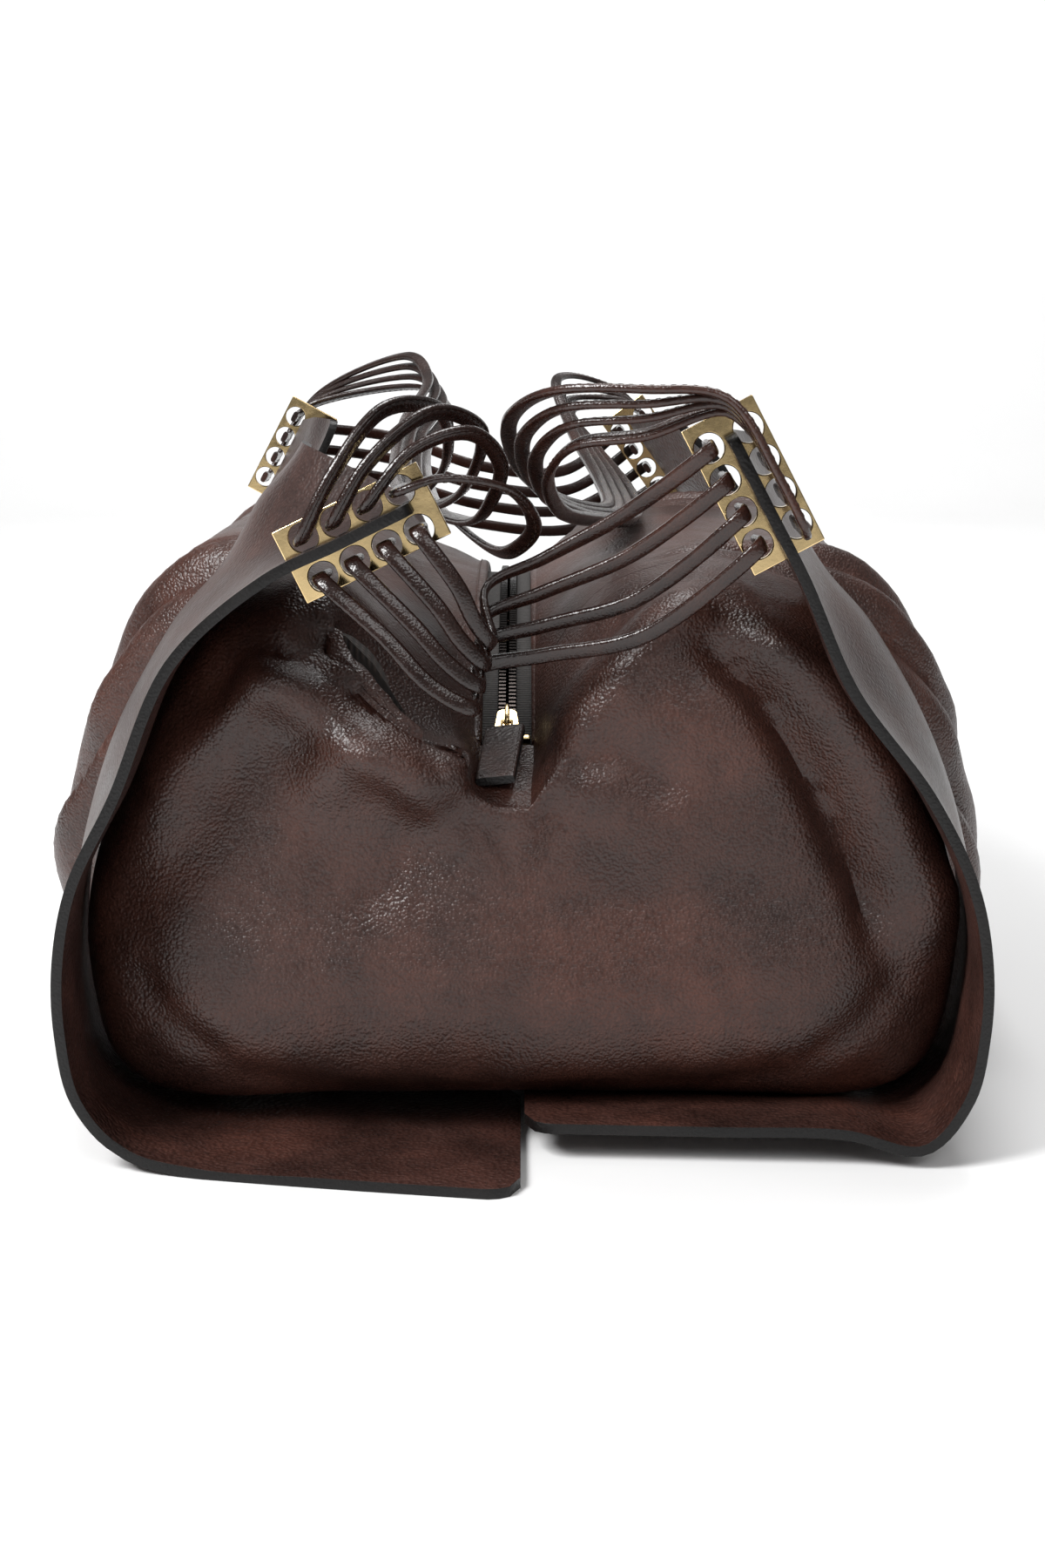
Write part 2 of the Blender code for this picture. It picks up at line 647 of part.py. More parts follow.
PLATE_Y = BAND_END_Y - SLIT_FROM_EDGE - SLIT_WIDTH / 2
STUB_INSIDE = 0.0045          # a lace's end reaches this far behind its plate
HANDLE_EXIT = 0.0090          # distance from the plate to where the first handle lace turns
HANDLE_STEP = 0.0042          # each further lace turns this much further out
CLOSING_EXIT = 0.0085
# Waypoints between the holes, chosen by hand, one list for each lace from the tip hole down.
NEAR_CLOSING = [
    [(-0.0185, -0.2100, 0.1780), (-0.0140, -0.2070, 0.1680), (-0.0085, -0.2010, 0.1605),
     (-0.0110, -0.1920, 0.1755), (0.0060, -0.1890, 0.1840), (0.0300, -0.1960, 0.1980)],
    [(-0.0245, -0.2115, 0.1725), (-0.0175, -0.2095, 0.1620), (-0.0103, -0.2042, 0.1548),
     (-0.0120, -0.1920, 0.1665), (0.0060, -0.1890, 0.1740), (0.0320, -0.1960, 0.1860)],
    [(-0.0315, -0.2130, 0.1675), (-0.0215, -0.2120, 0.1560), (-0.0121, -0.2074, 0.1488),
     (-0.0130, -0.1920, 0.1590), (0.0060, -0.1890, 0.1640), (0.0340, -0.1960, 0.1730)],
    [(-0.0395, -0.2145, 0.1640), (-0.0265, -0.2145, 0.1500), (-0.0139, -0.2106, 0.1428),
     (-0.0140, -0.1920, 0.1515), (0.0060, -0.1890, 0.1550), (0.0360, -0.1960, 0.1620)],
]
FAR_CLOSING = [
    [(-0.0600, 0.2130, 0.1980), (-0.0200, 0.2080, 0.1850), (0.0200, 0.2080, 0.1830)],
    [(-0.0620, 0.2130, 0.1880), (-0.0200, 0.2080, 0.1760), (0.0220, 0.2080, 0.1740)],
    [(-0.0640, 0.2130, 0.1790), (-0.0200, 0.2080, 0.1670), (0.0240, 0.2080, 0.1650)],
    [(-0.0660, 0.2130, 0.1700), (-0.0200, 0.2080, 0.1580), (0.0260, 0.2080, 0.1560)],
]
LEFT_HANDLE = [
    [(-0.0240, -0.2070, 0.2090), (-0.0040, -0.1970, 0.2050), (0.0035, -0.1800, 0.1930),
     (-0.0040, -0.1600, 0.1830), (-0.0240, -0.0800, 0.1860), (-0.0360, 0.0200, 0.1900),
     (-0.0400, 0.1000, 0.2010), (-0.0330, 0.1600, 0.2140), (-0.0480, 0.1880, 0.2220)],
    [(-0.0320, -0.2080, 0.2165), (-0.0160, -0.1980, 0.2215), (-0.0065, -0.1780, 0.2110),
     (-0.0120, -0.1550, 0.1945), (-0.0285, -0.0800, 0.1880), (-0.0405, 0.0200, 0.1915),
     (-0.0430, 0.1000, 0.2045), (-0.0360, 0.1600, 0.2183), (-0.0500, 0.1905, 0.2266)],
    [(-0.0440, -0.2090, 0.2135), (-0.0270, -0.1990, 0.2270), (-0.0125, -0.1760, 0.2210),
     (-0.0170, -0.1500, 0.2035), (-0.0330, -0.0800, 0.1905), (-0.0450, 0.0200, 0.1935),
     (-0.0460, 0.1000, 0.2080), (-0.0390, 0.1600, 0.2226), (-0.0520, 0.1930, 0.2312)],
    [(-0.0550, -0.2090, 0.2090), (-0.0410, -0.1990, 0.2275), (-0.0250, -0.1750, 0.2270),
     (-0.0235, -0.1470, 0.2115), (-0.0375, -0.0800, 0.1930), (-0.0495, 0.0200, 0.1955),
     (-0.0490, 0.1000, 0.2120), (-0.0420, 0.1600, 0.2269), (-0.0540, 0.1955, 0.2358)],
]
RIGHT_HANDLE = [
    [(0.0350, -0.2080, 0.2215), (0.0160, -0.2010, 0.2185), (0.0080, -0.1820, 0.2085),
     (0.0110, -0.1520, 0.1960), (0.0245, -0.0920, 0.1868), (0.0420, -0.0200, 0.1810),
     (0.0430, 0.0700, 0.1850), (0.0310, 0.1500, 0.1980),
     (0.0220, 0.1880, 0.2100), (0.0320, 0.2045, 0.2135)],
    [(0.0350, -0.2115, 0.2262), (0.0140, -0.2030, 0.2238), (0.0045, -0.1830, 0.2145),
     (0.0065, -0.1500, 0.2010), (0.0195, -0.0900, 0.1890), (0.0380, -0.0200, 0.1824),
     (0.0390, 0.0700, 0.1862), (0.0275, 0.1500, 0.2010),
     (0.0200, 0.1895, 0.2152), (0.0320, 0.2100, 0.2166)],
    [(0.0345, -0.2150, 0.2303), (0.0120, -0.2055, 0.2288), (0.0010, -0.1845, 0.2205),
     (0.0020, -0.1470, 0.2060), (0.0145, -0.0880, 0.1918), (0.0340, -0.0200, 0.1838),
     (0.0350, 0.0700, 0.1874), (0.0240, 0.1500, 0.2042),
     (0.0180, 0.1910, 0.2204), (0.0320, 0.2150, 0.2202)],
    [(0.0340, -0.2185, 0.2345), (0.0100, -0.2085, 0.2338), (-0.0025, -0.1860, 0.2265),
     (-0.0025, -0.1450, 0.2110), (0.0095, -0.0860, 0.1950), (0.0300, -0.0200, 0.1854),
     (0.0310, 0.0700, 0.1888), (0.0205, 0.1500, 0.2074),
     (0.0160, 0.1925, 0.2256), (0.0320, 0.2195, 0.2245)],
]


def through_hole(side, end, row, k, reach):
    """The start of a lace: from behind its plate, through its hole, to the given reach in front."""
    hole = hole_centre(side, end, row, k)
    away = Vector((0.0, ENDS[end], 0.0))
    return [hole - away * STUB_INSIDE, hole, hole + away * reach]


def over_the_tip(side, end, k):
    """A handle lace's way from its hole's front up along the plate and over the band's tip."""
    tip, slope = BANDS[side, end][:2]
    sign = SIDES[side]
    y = ENDS[end] * (PLATE_Y + HANDLE_EXIT + HANDLE_STEP * k)
    top = hole_centre(side, end, "outer", 0)
    hole = hole_centre(side, end, "outer", k)
    crossing = Vector((sign * (tip[0] - 0.002), y, tip[1] + 0.0075 + 0.0012 * k))
    points = through_hole(side, end, "outer", k, HANDLE_EXIT + HANDLE_STEP * k - 0.0025)
    if k:
        part = hole.lerp(top, 0.55 if k > 1 else 0.5)
        points.append(Vector((part.x, y, part.z)))
    return points + [crossing]


def lace_route(kind, k):
    """Points that a lace follows from hole k of one plate to hole k of another."""
    if kind == "near_closing":
        start = through_hole("left", "near", "inner", k, CLOSING_EXIT)
        stop = through_hole("right", "near", "inner", k, CLOSING_EXIT)
        return start + [Vector(p) for p in NEAR_CLOSING[k]] + stop[::-1]
    if kind == "far_closing":
        start = through_hole("left", "far", "inner", k, CLOSING_EXIT)
        stop = through_hole("right", "far", "inner", k, CLOSING_EXIT)
        return start + [Vector(p) for p in FAR_CLOSING[k]] + stop[::-1]
    if kind == "left_handle":
        start = through_hole("left", "near", "outer", k, CLOSING_EXIT - 0.001)
        middle = [Vector(p) for p in LEFT_HANDLE[k]]
        return start + middle + over_the_tip("left", "far", k)[::-1]
    middle = [Vector(p) for p in RIGHT_HANDLE[k]]
    return over_the_tip("right", "near", k) + middle + over_the_tip("right", "far", k)[::-1]


def lace_points(kind, k):
    route = lace_route(kind, k)
    rough = path_length(smooth_path(route, 100))
    return smooth_path(route, round(rough / LACE_STEP) + 1)


LACE_KINDS = ("left_handle", "right_handle", "near_closing", "far_closing")


def build_lace(kind, k):
    curve = bpy.data.curves.new(f"lace_{kind}_{k + 1}", "CURVE")
    curve.dimensions = "3D"
    points = lace_points(kind, k)
    spline = curve.splines.new("POLY")
    spline.points.add(len(points) - 1)
    for place, point in zip(spline.points, points):
        place.co = (*point, 1.0)
    curve.bevel_depth = LACE_DIAMETER / 2
    curve.bevel_resolution = 2
    curve.use_fill_caps = True
    add_object(curve.name, curve, "lace_leather")


def build():
    clear_scene()
    build_body()
    build_zip()
    build_slider()
    build_pull()
    for (side, end), spec in BANDS.items():
        build_band(side, end, spec)
        build_plate(side, end)
    for kind in LACE_KINDS:
        for k in range(HOLES_PER_ROW):
            build_lace(kind, k)


build()
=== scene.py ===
"""Looks for the laced leather handbag: soft panels, bands, plates, laces and zip around the
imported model. Metres, +Z up, the near end at -Y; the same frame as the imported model."""
import math

import bmesh
import bpy
from mathutils import Matrix, Vector, noise


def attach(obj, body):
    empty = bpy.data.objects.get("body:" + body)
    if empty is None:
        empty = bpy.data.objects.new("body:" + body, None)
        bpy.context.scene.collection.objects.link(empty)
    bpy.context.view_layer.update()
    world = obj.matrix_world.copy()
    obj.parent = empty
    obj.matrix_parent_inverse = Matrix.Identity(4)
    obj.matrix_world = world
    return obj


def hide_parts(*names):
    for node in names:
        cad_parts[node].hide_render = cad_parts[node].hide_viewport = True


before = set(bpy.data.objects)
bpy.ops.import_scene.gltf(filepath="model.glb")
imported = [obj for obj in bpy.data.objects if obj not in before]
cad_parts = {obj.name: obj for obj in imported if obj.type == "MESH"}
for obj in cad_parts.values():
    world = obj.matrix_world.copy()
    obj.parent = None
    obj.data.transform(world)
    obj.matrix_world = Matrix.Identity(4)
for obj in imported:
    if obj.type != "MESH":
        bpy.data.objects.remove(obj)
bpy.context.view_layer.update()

# ------------------------------------------------------------------ sizes shared with the part
BODY_HALF_LENGTH, END_BULGE, END_POWER = 0.183, 0.006, 8.0
END_SLIMMING, SLIMMING_FROM_Y, SLIMMING_TO_Y = 0.10, 0.070, 0.130
NOTCH_FADE, NOTCH_DEEPENS, NOTCH_STEP = 0.80, 0.06, 0.014
CENTRE_Z, SHOULDER_Z, SEAM_Y = 0.078, 0.176, 0.128
HALF_SECTION = [(0.066, 0.178), (0.098, 0.171), (0.120, 0.152), (0.140, 0.118),
                (0.157, 0.072), (0.156, 0.040), (0.148, 0.018), (0.126, 0.0074), (0.062, 0.0054),
                (0.0, 0.0054)]
VALLEY_WALL = {1: ((0.0136, 0.29), (0.0325, 0.80)), -1: ((0.0155, 0.13), (0.0355, 0.50))}
ZIP_X, ZIP_END_Y, ZIP_CROWN_Z, ZIP_ARC_RADIUS, ZIP_SLOT = -0.005, 0.150, 0.160, 0.308, 0.0085
SLIDER_REST_Y = -0.1410
BAND_END_Y, BAND_WIDTH, BAND_THICKNESS = 0.210, 0.088, 0.0044
SLIT_FROM_EDGE, SLIT_WIDTH, TIP_STRAIGHT, FLARE_START = 0.008, 0.0026, 0.047, 0.013
FLAP_END_X, FLAP_HINGE_X, FLAP_TOP_Z, BAND_CENTRE_Z = 0.0006, 0.122, 0.015, 0.0022
PLATE_LENGTH, PLATE_WIDTH, PLATE_THICKNESS, PLATE_PAST_TIP = 0.047, 0.023, 0.0020, 0.007
HOLE_DIAMETER, HOLE_PITCH, HOLE_ROW_OFFSET, HOLES_PER_ROW = 0.0088, 0.0104, 0.00635, 4
SIDES = {"left": -1, "right": 1}
ENDS = {"near": -1, "far": 1}

LOWER_EDGE = [(0.120, 0.115), (0.1335, 0.088), (0.1385, 0.064), (0.1385, 0.042), (0.1345, 0.022),
              (0.122, 0.0070)]
LOWER_BACK = [(0.1325, 0.119), (0.1455, 0.074), (0.1455, 0.036), (0.137, 0.0135)]
BANDS = {
    ("left", "near"): ((0.032, 0.200), 26.0, (0.102, 0.155), (0.074, 0.217), 0.0, 0.0245),
    ("right", "near"): ((0.059, 0.221), 62.0, (0.096, 0.147), (0.073, 0.217), 0.0090, -0.008),
    ("left", "far"): ((0.099, 0.206), 62.0, (0.1245, 0.146), (0.086, 0.211), 0.0, -0.010),
    ("right", "far"): ((0.050, 0.206), 54.0, (0.096, 0.145), (0.070, 0.214), 0.0, 0.0245),
}


# ------------------------------------------------------------------ general helpers
def smoothstep(t):
    t = min(1.0, max(0.0, t))
    return t * t * (3.0 - 2.0 * t)


def smooth_path(points, count, first=None, steps=24):
    """count points along a smooth curve through the given ones, evenly spaced after the first."""
    pts = [Vector(p) for p in points]
    pts = [2 * pts[0] - pts[1]] + pts + [2 * pts[-1] - pts[-2]]
    fine = []
    for a, b, c, d in zip(pts, pts[1:], pts[2:], pts[3:]):
        before, here, after = (math.sqrt(max((q - p).length, 1e-6))
                               for p, q in ((a, b), (b, c), (c, d)))
        leave = c - b + here * ((b - a) / before - (c - a) / (before + here))
        arrive = c - b + here * ((d - c) / after - (d - b) / (here + after))
        for k in range(steps):
            t = k / steps
            fine.append(b + leave * t + (3 * (c - b) - 2 * leave - arrive) * t ** 2
                        + (2 * (b - c) + leave + arrive) * t ** 3)
    fine.append(pts[-2])
    lengths = [0.0]
    for a, b in zip(fine, fine[1:]):
        lengths.append(lengths[-1] + (b - a).length)
    step = lengths[-1] / (count - 1)
    wanted = [step * i for i in range(count)]
    if first is not None:
        step = (lengths[-1] - first) / (count - 2)
        wanted = [0.0] + [first + step * i for i in range(count - 1)]
    out, k = [], 0
    for want in wanted:
        while k < len(fine) - 2 and lengths[k + 1] < want:
            k += 1
        part = (want - lengths[k]) / max(lengths[k + 1] - lengths[k], 1e-9)
        out.append(fine[k].lerp(fine[k + 1], min(1.0, part)))
    return out


def path_length(points):
    return sum((b - a).length for a, b in zip(points, points[1:]))


def new_object(name, verts, faces, materials, face_slots=None, smooth=True, sharp_deg=None):
    mesh = bpy.data.meshes.new(name)
    bm = bmesh.new()
    made = [bm.verts.new(v) for v in verts]
    for i, face in enumerate(faces):
        loop = [made[k] for k in face]
        if len(set(loop)) < 3:
            continue
        try:
            f = bm.faces.new(loop)
        except ValueError:
            continue
        f.smooth = smooth
        if face_slots:
            f.material_index = face_slots[i]
    bmesh.ops.remove_doubles(bm, verts=bm.verts, dist=2e-6)
    loose = [v for v in bm.verts if not v.link_faces]
    bmesh.ops.delete(bm, geom=loose, context="VERTS")
    bmesh.ops.recalc_face_normals(bm, faces=bm.faces)
    bm.to_mesh(mesh)
    bm.free()
    for mat in materials:
        mesh.materials.append(mat)
    if sharp_deg:
        mesh.set_sharp_from_angle(angle=math.radians(sharp_deg))
    thing = bpy.data.objects.new(name, mesh)
    bpy.context.scene.collection.objects.link(thing)
    return thing


def finish_piece(thing, body, slot, *replaced):
    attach(thing, body)
    if replaced:
        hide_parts(*replaced)


# ------------------------------------------------------------------ camera
camera_data = bpy.data.cameras.new("camera")
camera_data.lens = 52.0
camera_data.sensor_fit = "VERTICAL"
camera_data.sensor_height = 36.0
camera = bpy.data.objects.new("camera", camera_data)
bpy.context.scene.collection.objects.link(camera)
camera.location = (0.0, -0.86, 0.256)
camera.rotation_euler = (math.radians(78.2), 0.0, 0.0)
bpy.context.scene.camera = camera


# ------------------------------------------------------------------ materials
def start_material(name, colour, roughness, metallic=0.0):
    mat = bpy.data.materials.new(name)
    mat.use_nodes = True
    tree = mat.node_tree
    shader = tree.nodes["Principled BSDF"]
    shader.inputs["Base Color"].default_value = (*colour, 1.0)
    shader.inputs["Roughness"].default_value = roughness
    shader.inputs["Metallic"].default_value = metallic
    coord = tree.nodes.new("ShaderNodeTexCoord")
    return mat, tree, shader, coord.outputs["Object"]


def node(tree, kind, inputs=None, **settings):
    made = tree.nodes.new(kind)
    for key, value in settings.items():
        setattr(made, key, value)
    for key, value in (inputs or {}).items():
        if hasattr(value, "links"):
            tree.links.new(value, made.inputs[key])
        else:
            made.inputs[key].default_value = value
    return made


def ramp(tree, fac, stops):
    made = node(tree, "ShaderNodeValToRGB", {"Fac": fac})
    band = made.color_ramp
    while len(band.elements) < len(stops):
        band.elements.new(0.5)
    for element, (place, colour) in zip(band.elements, stops):
        element.position = place
        element.color = (*colour, 1.0)
    return made.outputs["Color"]


def spread(tree, value, low, high, to_low, to_high):
    made = node(tree, "ShaderNodeMapRange", {"Value": value, "From Min": low, "From Max": high,
                                             "To Min": to_low, "To Max": to_high})
    return made.outputs["Result"]


def bump(tree, layers, normal=None):
    """Stacked bump nodes; each layer is (height socket, strength, distance)."""
    for height, strength, distance in layers:
        inputs = {"Height": height, "Strength": strength, "Distance": distance}
        if normal is not None:
            inputs["Normal"] = normal
        normal = node(tree, "ShaderNodeBump", inputs).outputs["Normal"]
    return normal


def leather(name, dark, mid, warm, rough, grain=620.0, grain_strength=0.35, coat=0.12, shine=0.5):
    """Burnished leather: slow colour clouds, warm worn patches, pebble grain and fine wrinkles."""
    mat, tree, shader, place = start_material(name, mid, rough)
    clouds = node(tree, "ShaderNodeTexNoise", {"Vector": place, "Scale": 14.0, "Detail": 6.0,
                                               "Roughness": 0.62, "Distortion": 0.5}).outputs["Fac"]
    patches = node(tree, "ShaderNodeTexNoise", {"Vector": place, "Scale": 46.0, "Detail": 8.0,
                                                "Roughness": 0.72}).outputs["Fac"]
    base = ramp(tree, clouds, [(0.30, dark), (0.52, mid), (0.76, warm)])
    speckle = ramp(tree, patches, [(0.34, (0.62, 0.60, 0.60)), (0.66, (1.25, 1.2, 1.18))])
    cells = node(tree, "ShaderNodeTexVoronoi", {"Vector": place, "Scale": grain, "Randomness": 1.0},
                 feature="SMOOTH_F1").outputs["Distance"]
    pores = ramp(tree, cells, [(0.0, (1.22, 1.20, 1.20)), (0.72, (0.60, 0.58, 0.58))])
    first = mix_colour(tree, base, speckle, 1.0)
    second = mix_colour(tree, first, pores, 0.8)
    tree.links.new(second, shader.inputs["Base Color"])
    rough_spread = spread(tree, patches, 0.3, 0.7, rough - 0.07, rough + 0.10)
    tree.links.new(rough_spread, shader.inputs["Roughness"])
    wrinkles = node(tree, "ShaderNodeTexNoise", {"Vector": place, "Scale": 210.0, "Detail": 7.0,
                                                 "Roughness": 0.6, "Distortion": 1.2}).outputs["Fac"]
    normal = bump(tree, [(cells, grain_strength, -0.0009), (wrinkles, 0.10, 0.0006)])
    tree.links.new(normal, shader.inputs["Normal"])
    shader.inputs["Coat Weight"].default_value = coat
    shader.inputs["Coat Roughness"].default_value = 0.28
    shader.inputs["Specular IOR Level"].default_value = shine
    return mat


def mix_colour(tree, a, b, factor, blend="MULTIPLY"):
    made = tree.nodes.new("ShaderNodeMix")
    made.data_type = "RGBA"
    made.blend_type = blend
    made.inputs[0].default_value = factor
    tree.links.new(a, made.inputs[6])
    tree.links.new(b, made.inputs[7])
    return made.outputs[2]


def metal(name, colour, rough, scratch=0.05):
    """Polished metal with faint brushing and slightly uneven shine."""
    mat, tree, shader, place = start_material(name, colour, rough, 1.0)
    smudge = node(tree, "ShaderNodeTexNoise", {"Vector": place, "Scale": 90.0, "Detail": 5.0,
                                               "Roughness": 0.7}).outputs["Fac"]
    lines = node(tree, "ShaderNodeTexNoise", {"Vector": place, "Scale": 900.0, "Detail": 3.0,
                                              "Roughness": 0.5}).outputs["Fac"]
    dull = tuple(c * 0.78 for c in colour)
    bright = tuple(min(1.0, c * 1.08) for c in colour)
    tree.links.new(ramp(tree, smudge, [(0.3, dull), (0.65, bright)]), shader.inputs["Base Color"])
    tree.links.new(spread(tree, smudge, 0.3, 0.7, rough - 0.05, rough + 0.10),
                   shader.inputs["Roughness"])
    tree.links.new(bump(tree, [(lines, scratch, 0.0002)]), shader.inputs["Normal"])
    return mat


def cloth_weave(name, dark, light, rough, thread=0.0009):
    """Woven fabric: two crossed sets of threads."""
    mat, tree, shader, place = start_material(name, dark, rough)
    scale = 1.0 / thread
    warp = node(tree, "ShaderNodeTexWave", {"Vector": place, "Scale": scale / 20.0 * 3.1416,
                                            "Distortion": 0.4, "Detail": 2.0},
                wave_type="BANDS", bands_direction="X").outputs["Fac"]
    weft = node(tree, "ShaderNodeTexWave", {"Vector": place, "Scale": scale / 20.0 * 3.1416,
                                            "Distortion": 0.4, "Detail": 2.0},
                wave_type="BANDS", bands_direction="Y").outputs["Fac"]
    both = node(tree, "ShaderNodeMath", {0: warp, 1: weft}, operation="MULTIPLY").outputs[0]
    tree.links.new(ramp(tree, both, [(0.1, dark), (0.8, light)]), shader.inputs["Base Color"])
    fuzz = node(tree, "ShaderNodeTexNoise", {"Vector": place, "Scale": 300.0,
                                             "Detail": 6.0}).outputs["Fac"]
    tree.links.new(spread(tree, fuzz, 0.3, 0.7, rough - 0.1, rough + 0.08),
                   shader.inputs["Roughness"])
    tree.links.new(bump(tree, [(both, 0.6, 0.0004)]), shader.inputs["Normal"])
    return mat


def ribbed_tape(name, dark, light):
    """Zip tape: fine ribs across the tape, which follow the zip's length along Y."""
    mat, tree, shader, place = start_material(name, dark, 0.72)
    ribs = node(tree, "ShaderNodeTexWave", {"Vector": place, "Scale": 260.0, "Distortion": 0.15},
                wave_type="BANDS", bands_direction="Y").outputs["Fac"]
    fibre = node(tree, "ShaderNodeTexNoise", {"Vector": place, "Scale": 1400.0,
                                              "Detail": 4.0}).outputs["Fac"]
    tree.links.new(ramp(tree, ribs, [(0.15, dark), (0.85, light)]), shader.inputs["Base Color"])
    tree.links.new(spread(tree, fibre, 0.3, 0.7, 0.62, 0.82), shader.inputs["Roughness"])
    tree.links.new(bump(tree, [(ribs, 0.8, 0.0004), (fibre, 0.3, 0.0002)]), shader.inputs["Normal"])
    return mat


SKIN = leather("skin_leather", (0.0240, 0.0092, 0.0064), (0.0440, 0.0165, 0.0110),
               (0.066, 0.0225, 0.0138), 0.38, grain=1150.0, grain_strength=0.48, coat=0.05, shine=0.45)
STRAP = leather("band_outer_leather", (0.0180, 0.0080, 0.0062), (0.0340, 0.0150, 0.0114),
                (0.056, 0.0235, 0.0165), 0.38, grain=900.0, grain_strength=0.35, coat=0.15)
STRAP_INNER = leather("band_inner_leather", (0.0200, 0.0086, 0.0064), (0.0440, 0.0172, 0.0124),
                      (0.075, 0.0270, 0.0180), 0.46, grain=760.0, grain_strength=0.75, coat=0.05,
                      shine=0.4)
LACE = leather("lace_leather", (0.0085, 0.0034, 0.0026), (0.0215, 0.0080, 0.0054),
               (0.060, 0.0205, 0.0125), 0.20, grain=1500.0, grain_strength=0.2, coat=0.22, shine=0.42)
EDGE_PAINT = leather("painted_edge", (0.0024, 0.0020, 0.0020), (0.0040, 0.0034, 0.0033),
                     (0.0080, 0.0062, 0.0056), 0.42, grain=1300.0, grain_strength=0.2, coat=0.08,
                     shine=0.3)
THREAD = leather("stitch_thread", (0.020, 0.0110, 0.0085), (0.040, 0.0210, 0.0150),
                 (0.070, 0.0380, 0.0270), 0.55, grain=2600.0, grain_strength=0.5, coat=0.0)
LINING = cloth_weave("lining_weave", (0.012, 0.0085, 0.0070), (0.040, 0.028, 0.023), 0.80)
TAPE = ribbed_tape("zip_tape_weave", (0.0085, 0.0068, 0.0062), (0.030, 0.024, 0.021))
GOLD = metal("gold_plating", (0.88, 0.66, 0.34), 0.11)
GUNMETAL = metal("dark_metal", (0.030, 0.023, 0.020), 0.18, scratch=0.1)


# ------------------------------------------------------------------ zip arc
def zip_height(y):
    return ZIP_CROWN_Z - ZIP_ARC_RADIUS + math.sqrt(ZIP_ARC_RADIUS ** 2 - y * y)


def arc_angle(y):
    return math.asin(y / ZIP_ARC_RADIUS)


def arc_point(x, angle, height):
    radius = ZIP_ARC_RADIUS + height
    return Vector((ZIP_X + x, radius * math.sin(angle),
                   ZIP_CROWN_Z - ZIP_ARC_RADIUS + radius * math.cos(angle)))


# ------------------------------------------------------------------ plates and holes
def tip_direction(slope):
    return Vector((math.cos(math.radians(slope)), 0.0, -math.sin(math.radians(slope))))


def plate_frame(side, end):
    tip, slope = BANDS[side, end][:2]
    sign = SIDES[side]
    down = tip_direction(slope)
    down.x *= sign
    out = Vector((-down.z * sign, 0.0, down.x * sign))
    plane_y = ENDS[end] * (BAND_END_Y - SLIT_FROM_EDGE - SLIT_WIDTH / 2)
    middle = Vector((sign * tip[0], plane_y, tip[1]))
    return middle + down * (PLATE_LENGTH / 2 - PLATE_PAST_TIP), down, out


def hole_centre(side, end, row, k):
    middle, down, out = plate_frame(side, end)
    offset = HOLE_ROW_OFFSET if row == "outer" else -HOLE_ROW_OFFSET
    return middle + out * offset + down * (k - (HOLES_PER_ROW - 1) / 2) * HOLE_PITCH


# ------------------------------------------------------------------ laces
PLATE_Y = BAND_END_Y - SLIT_FROM_EDGE - SLIT_WIDTH / 2
STUB_INSIDE = 0.0045          # a lace's end reaches this far behind its plate
HANDLE_EXIT = 0.0090          # distance from the plate to where the first handle lace turns
HANDLE_STEP = 0.0042          # each further lace turns this much further out
CLOSING_EXIT = 0.0085
# Waypoints between the holes, one list for each lace from the tip hole down.
NEAR_CLOSING = [
    [(-0.0185, -0.2100, 0.1780), (-0.0140, -0.2070, 0.1680), (-0.0085, -0.2010, 0.1605),
     (-0.0110, -0.1920, 0.1755), (0.0060, -0.1890, 0.1840), (0.0300, -0.1960, 0.1980)],
    [(-0.0245, -0.2115, 0.1725), (-0.0175, -0.2095, 0.1620), (-0.0103, -0.2042, 0.1548),
     (-0.0120, -0.1920, 0.1665), (0.0060, -0.1890, 0.1740), (0.0320, -0.1960, 0.1860)],
    [(-0.0315, -0.2130, 0.1675), (-0.0215, -0.2120, 0.1560), (-0.0121, -0.2074, 0.1488),
     (-0.0130, -0.1920, 0.1590), (0.0060, -0.1890, 0.1640), (0.0340, -0.1960, 0.1730)],
    [(-0.0395, -0.2145, 0.1640), (-0.0265, -0.2145, 0.1500), (-0.0139, -0.2106, 0.1428),
     (-0.0140, -0.1920, 0.1515), (0.0060, -0.1890, 0.1550), (0.0360, -0.1960, 0.1620)],
]
FAR_CLOSING = [
    [(-0.0600, 0.2130, 0.1980), (-0.0200, 0.2080, 0.1850), (0.0200, 0.2080, 0.1830)],
    [(-0.0620, 0.2130, 0.1880), (-0.0200, 0.2080, 0.1760), (0.0220, 0.2080, 0.1740)],
    [(-0.0640, 0.2130, 0.1790), (-0.0200, 0.2080, 0.1670), (0.0240, 0.2080, 0.1650)],
    [(-0.0660, 0.2130, 0.1700), (-0.0200, 0.2080, 0.1580), (0.0260, 0.2080, 0.1560)],
]
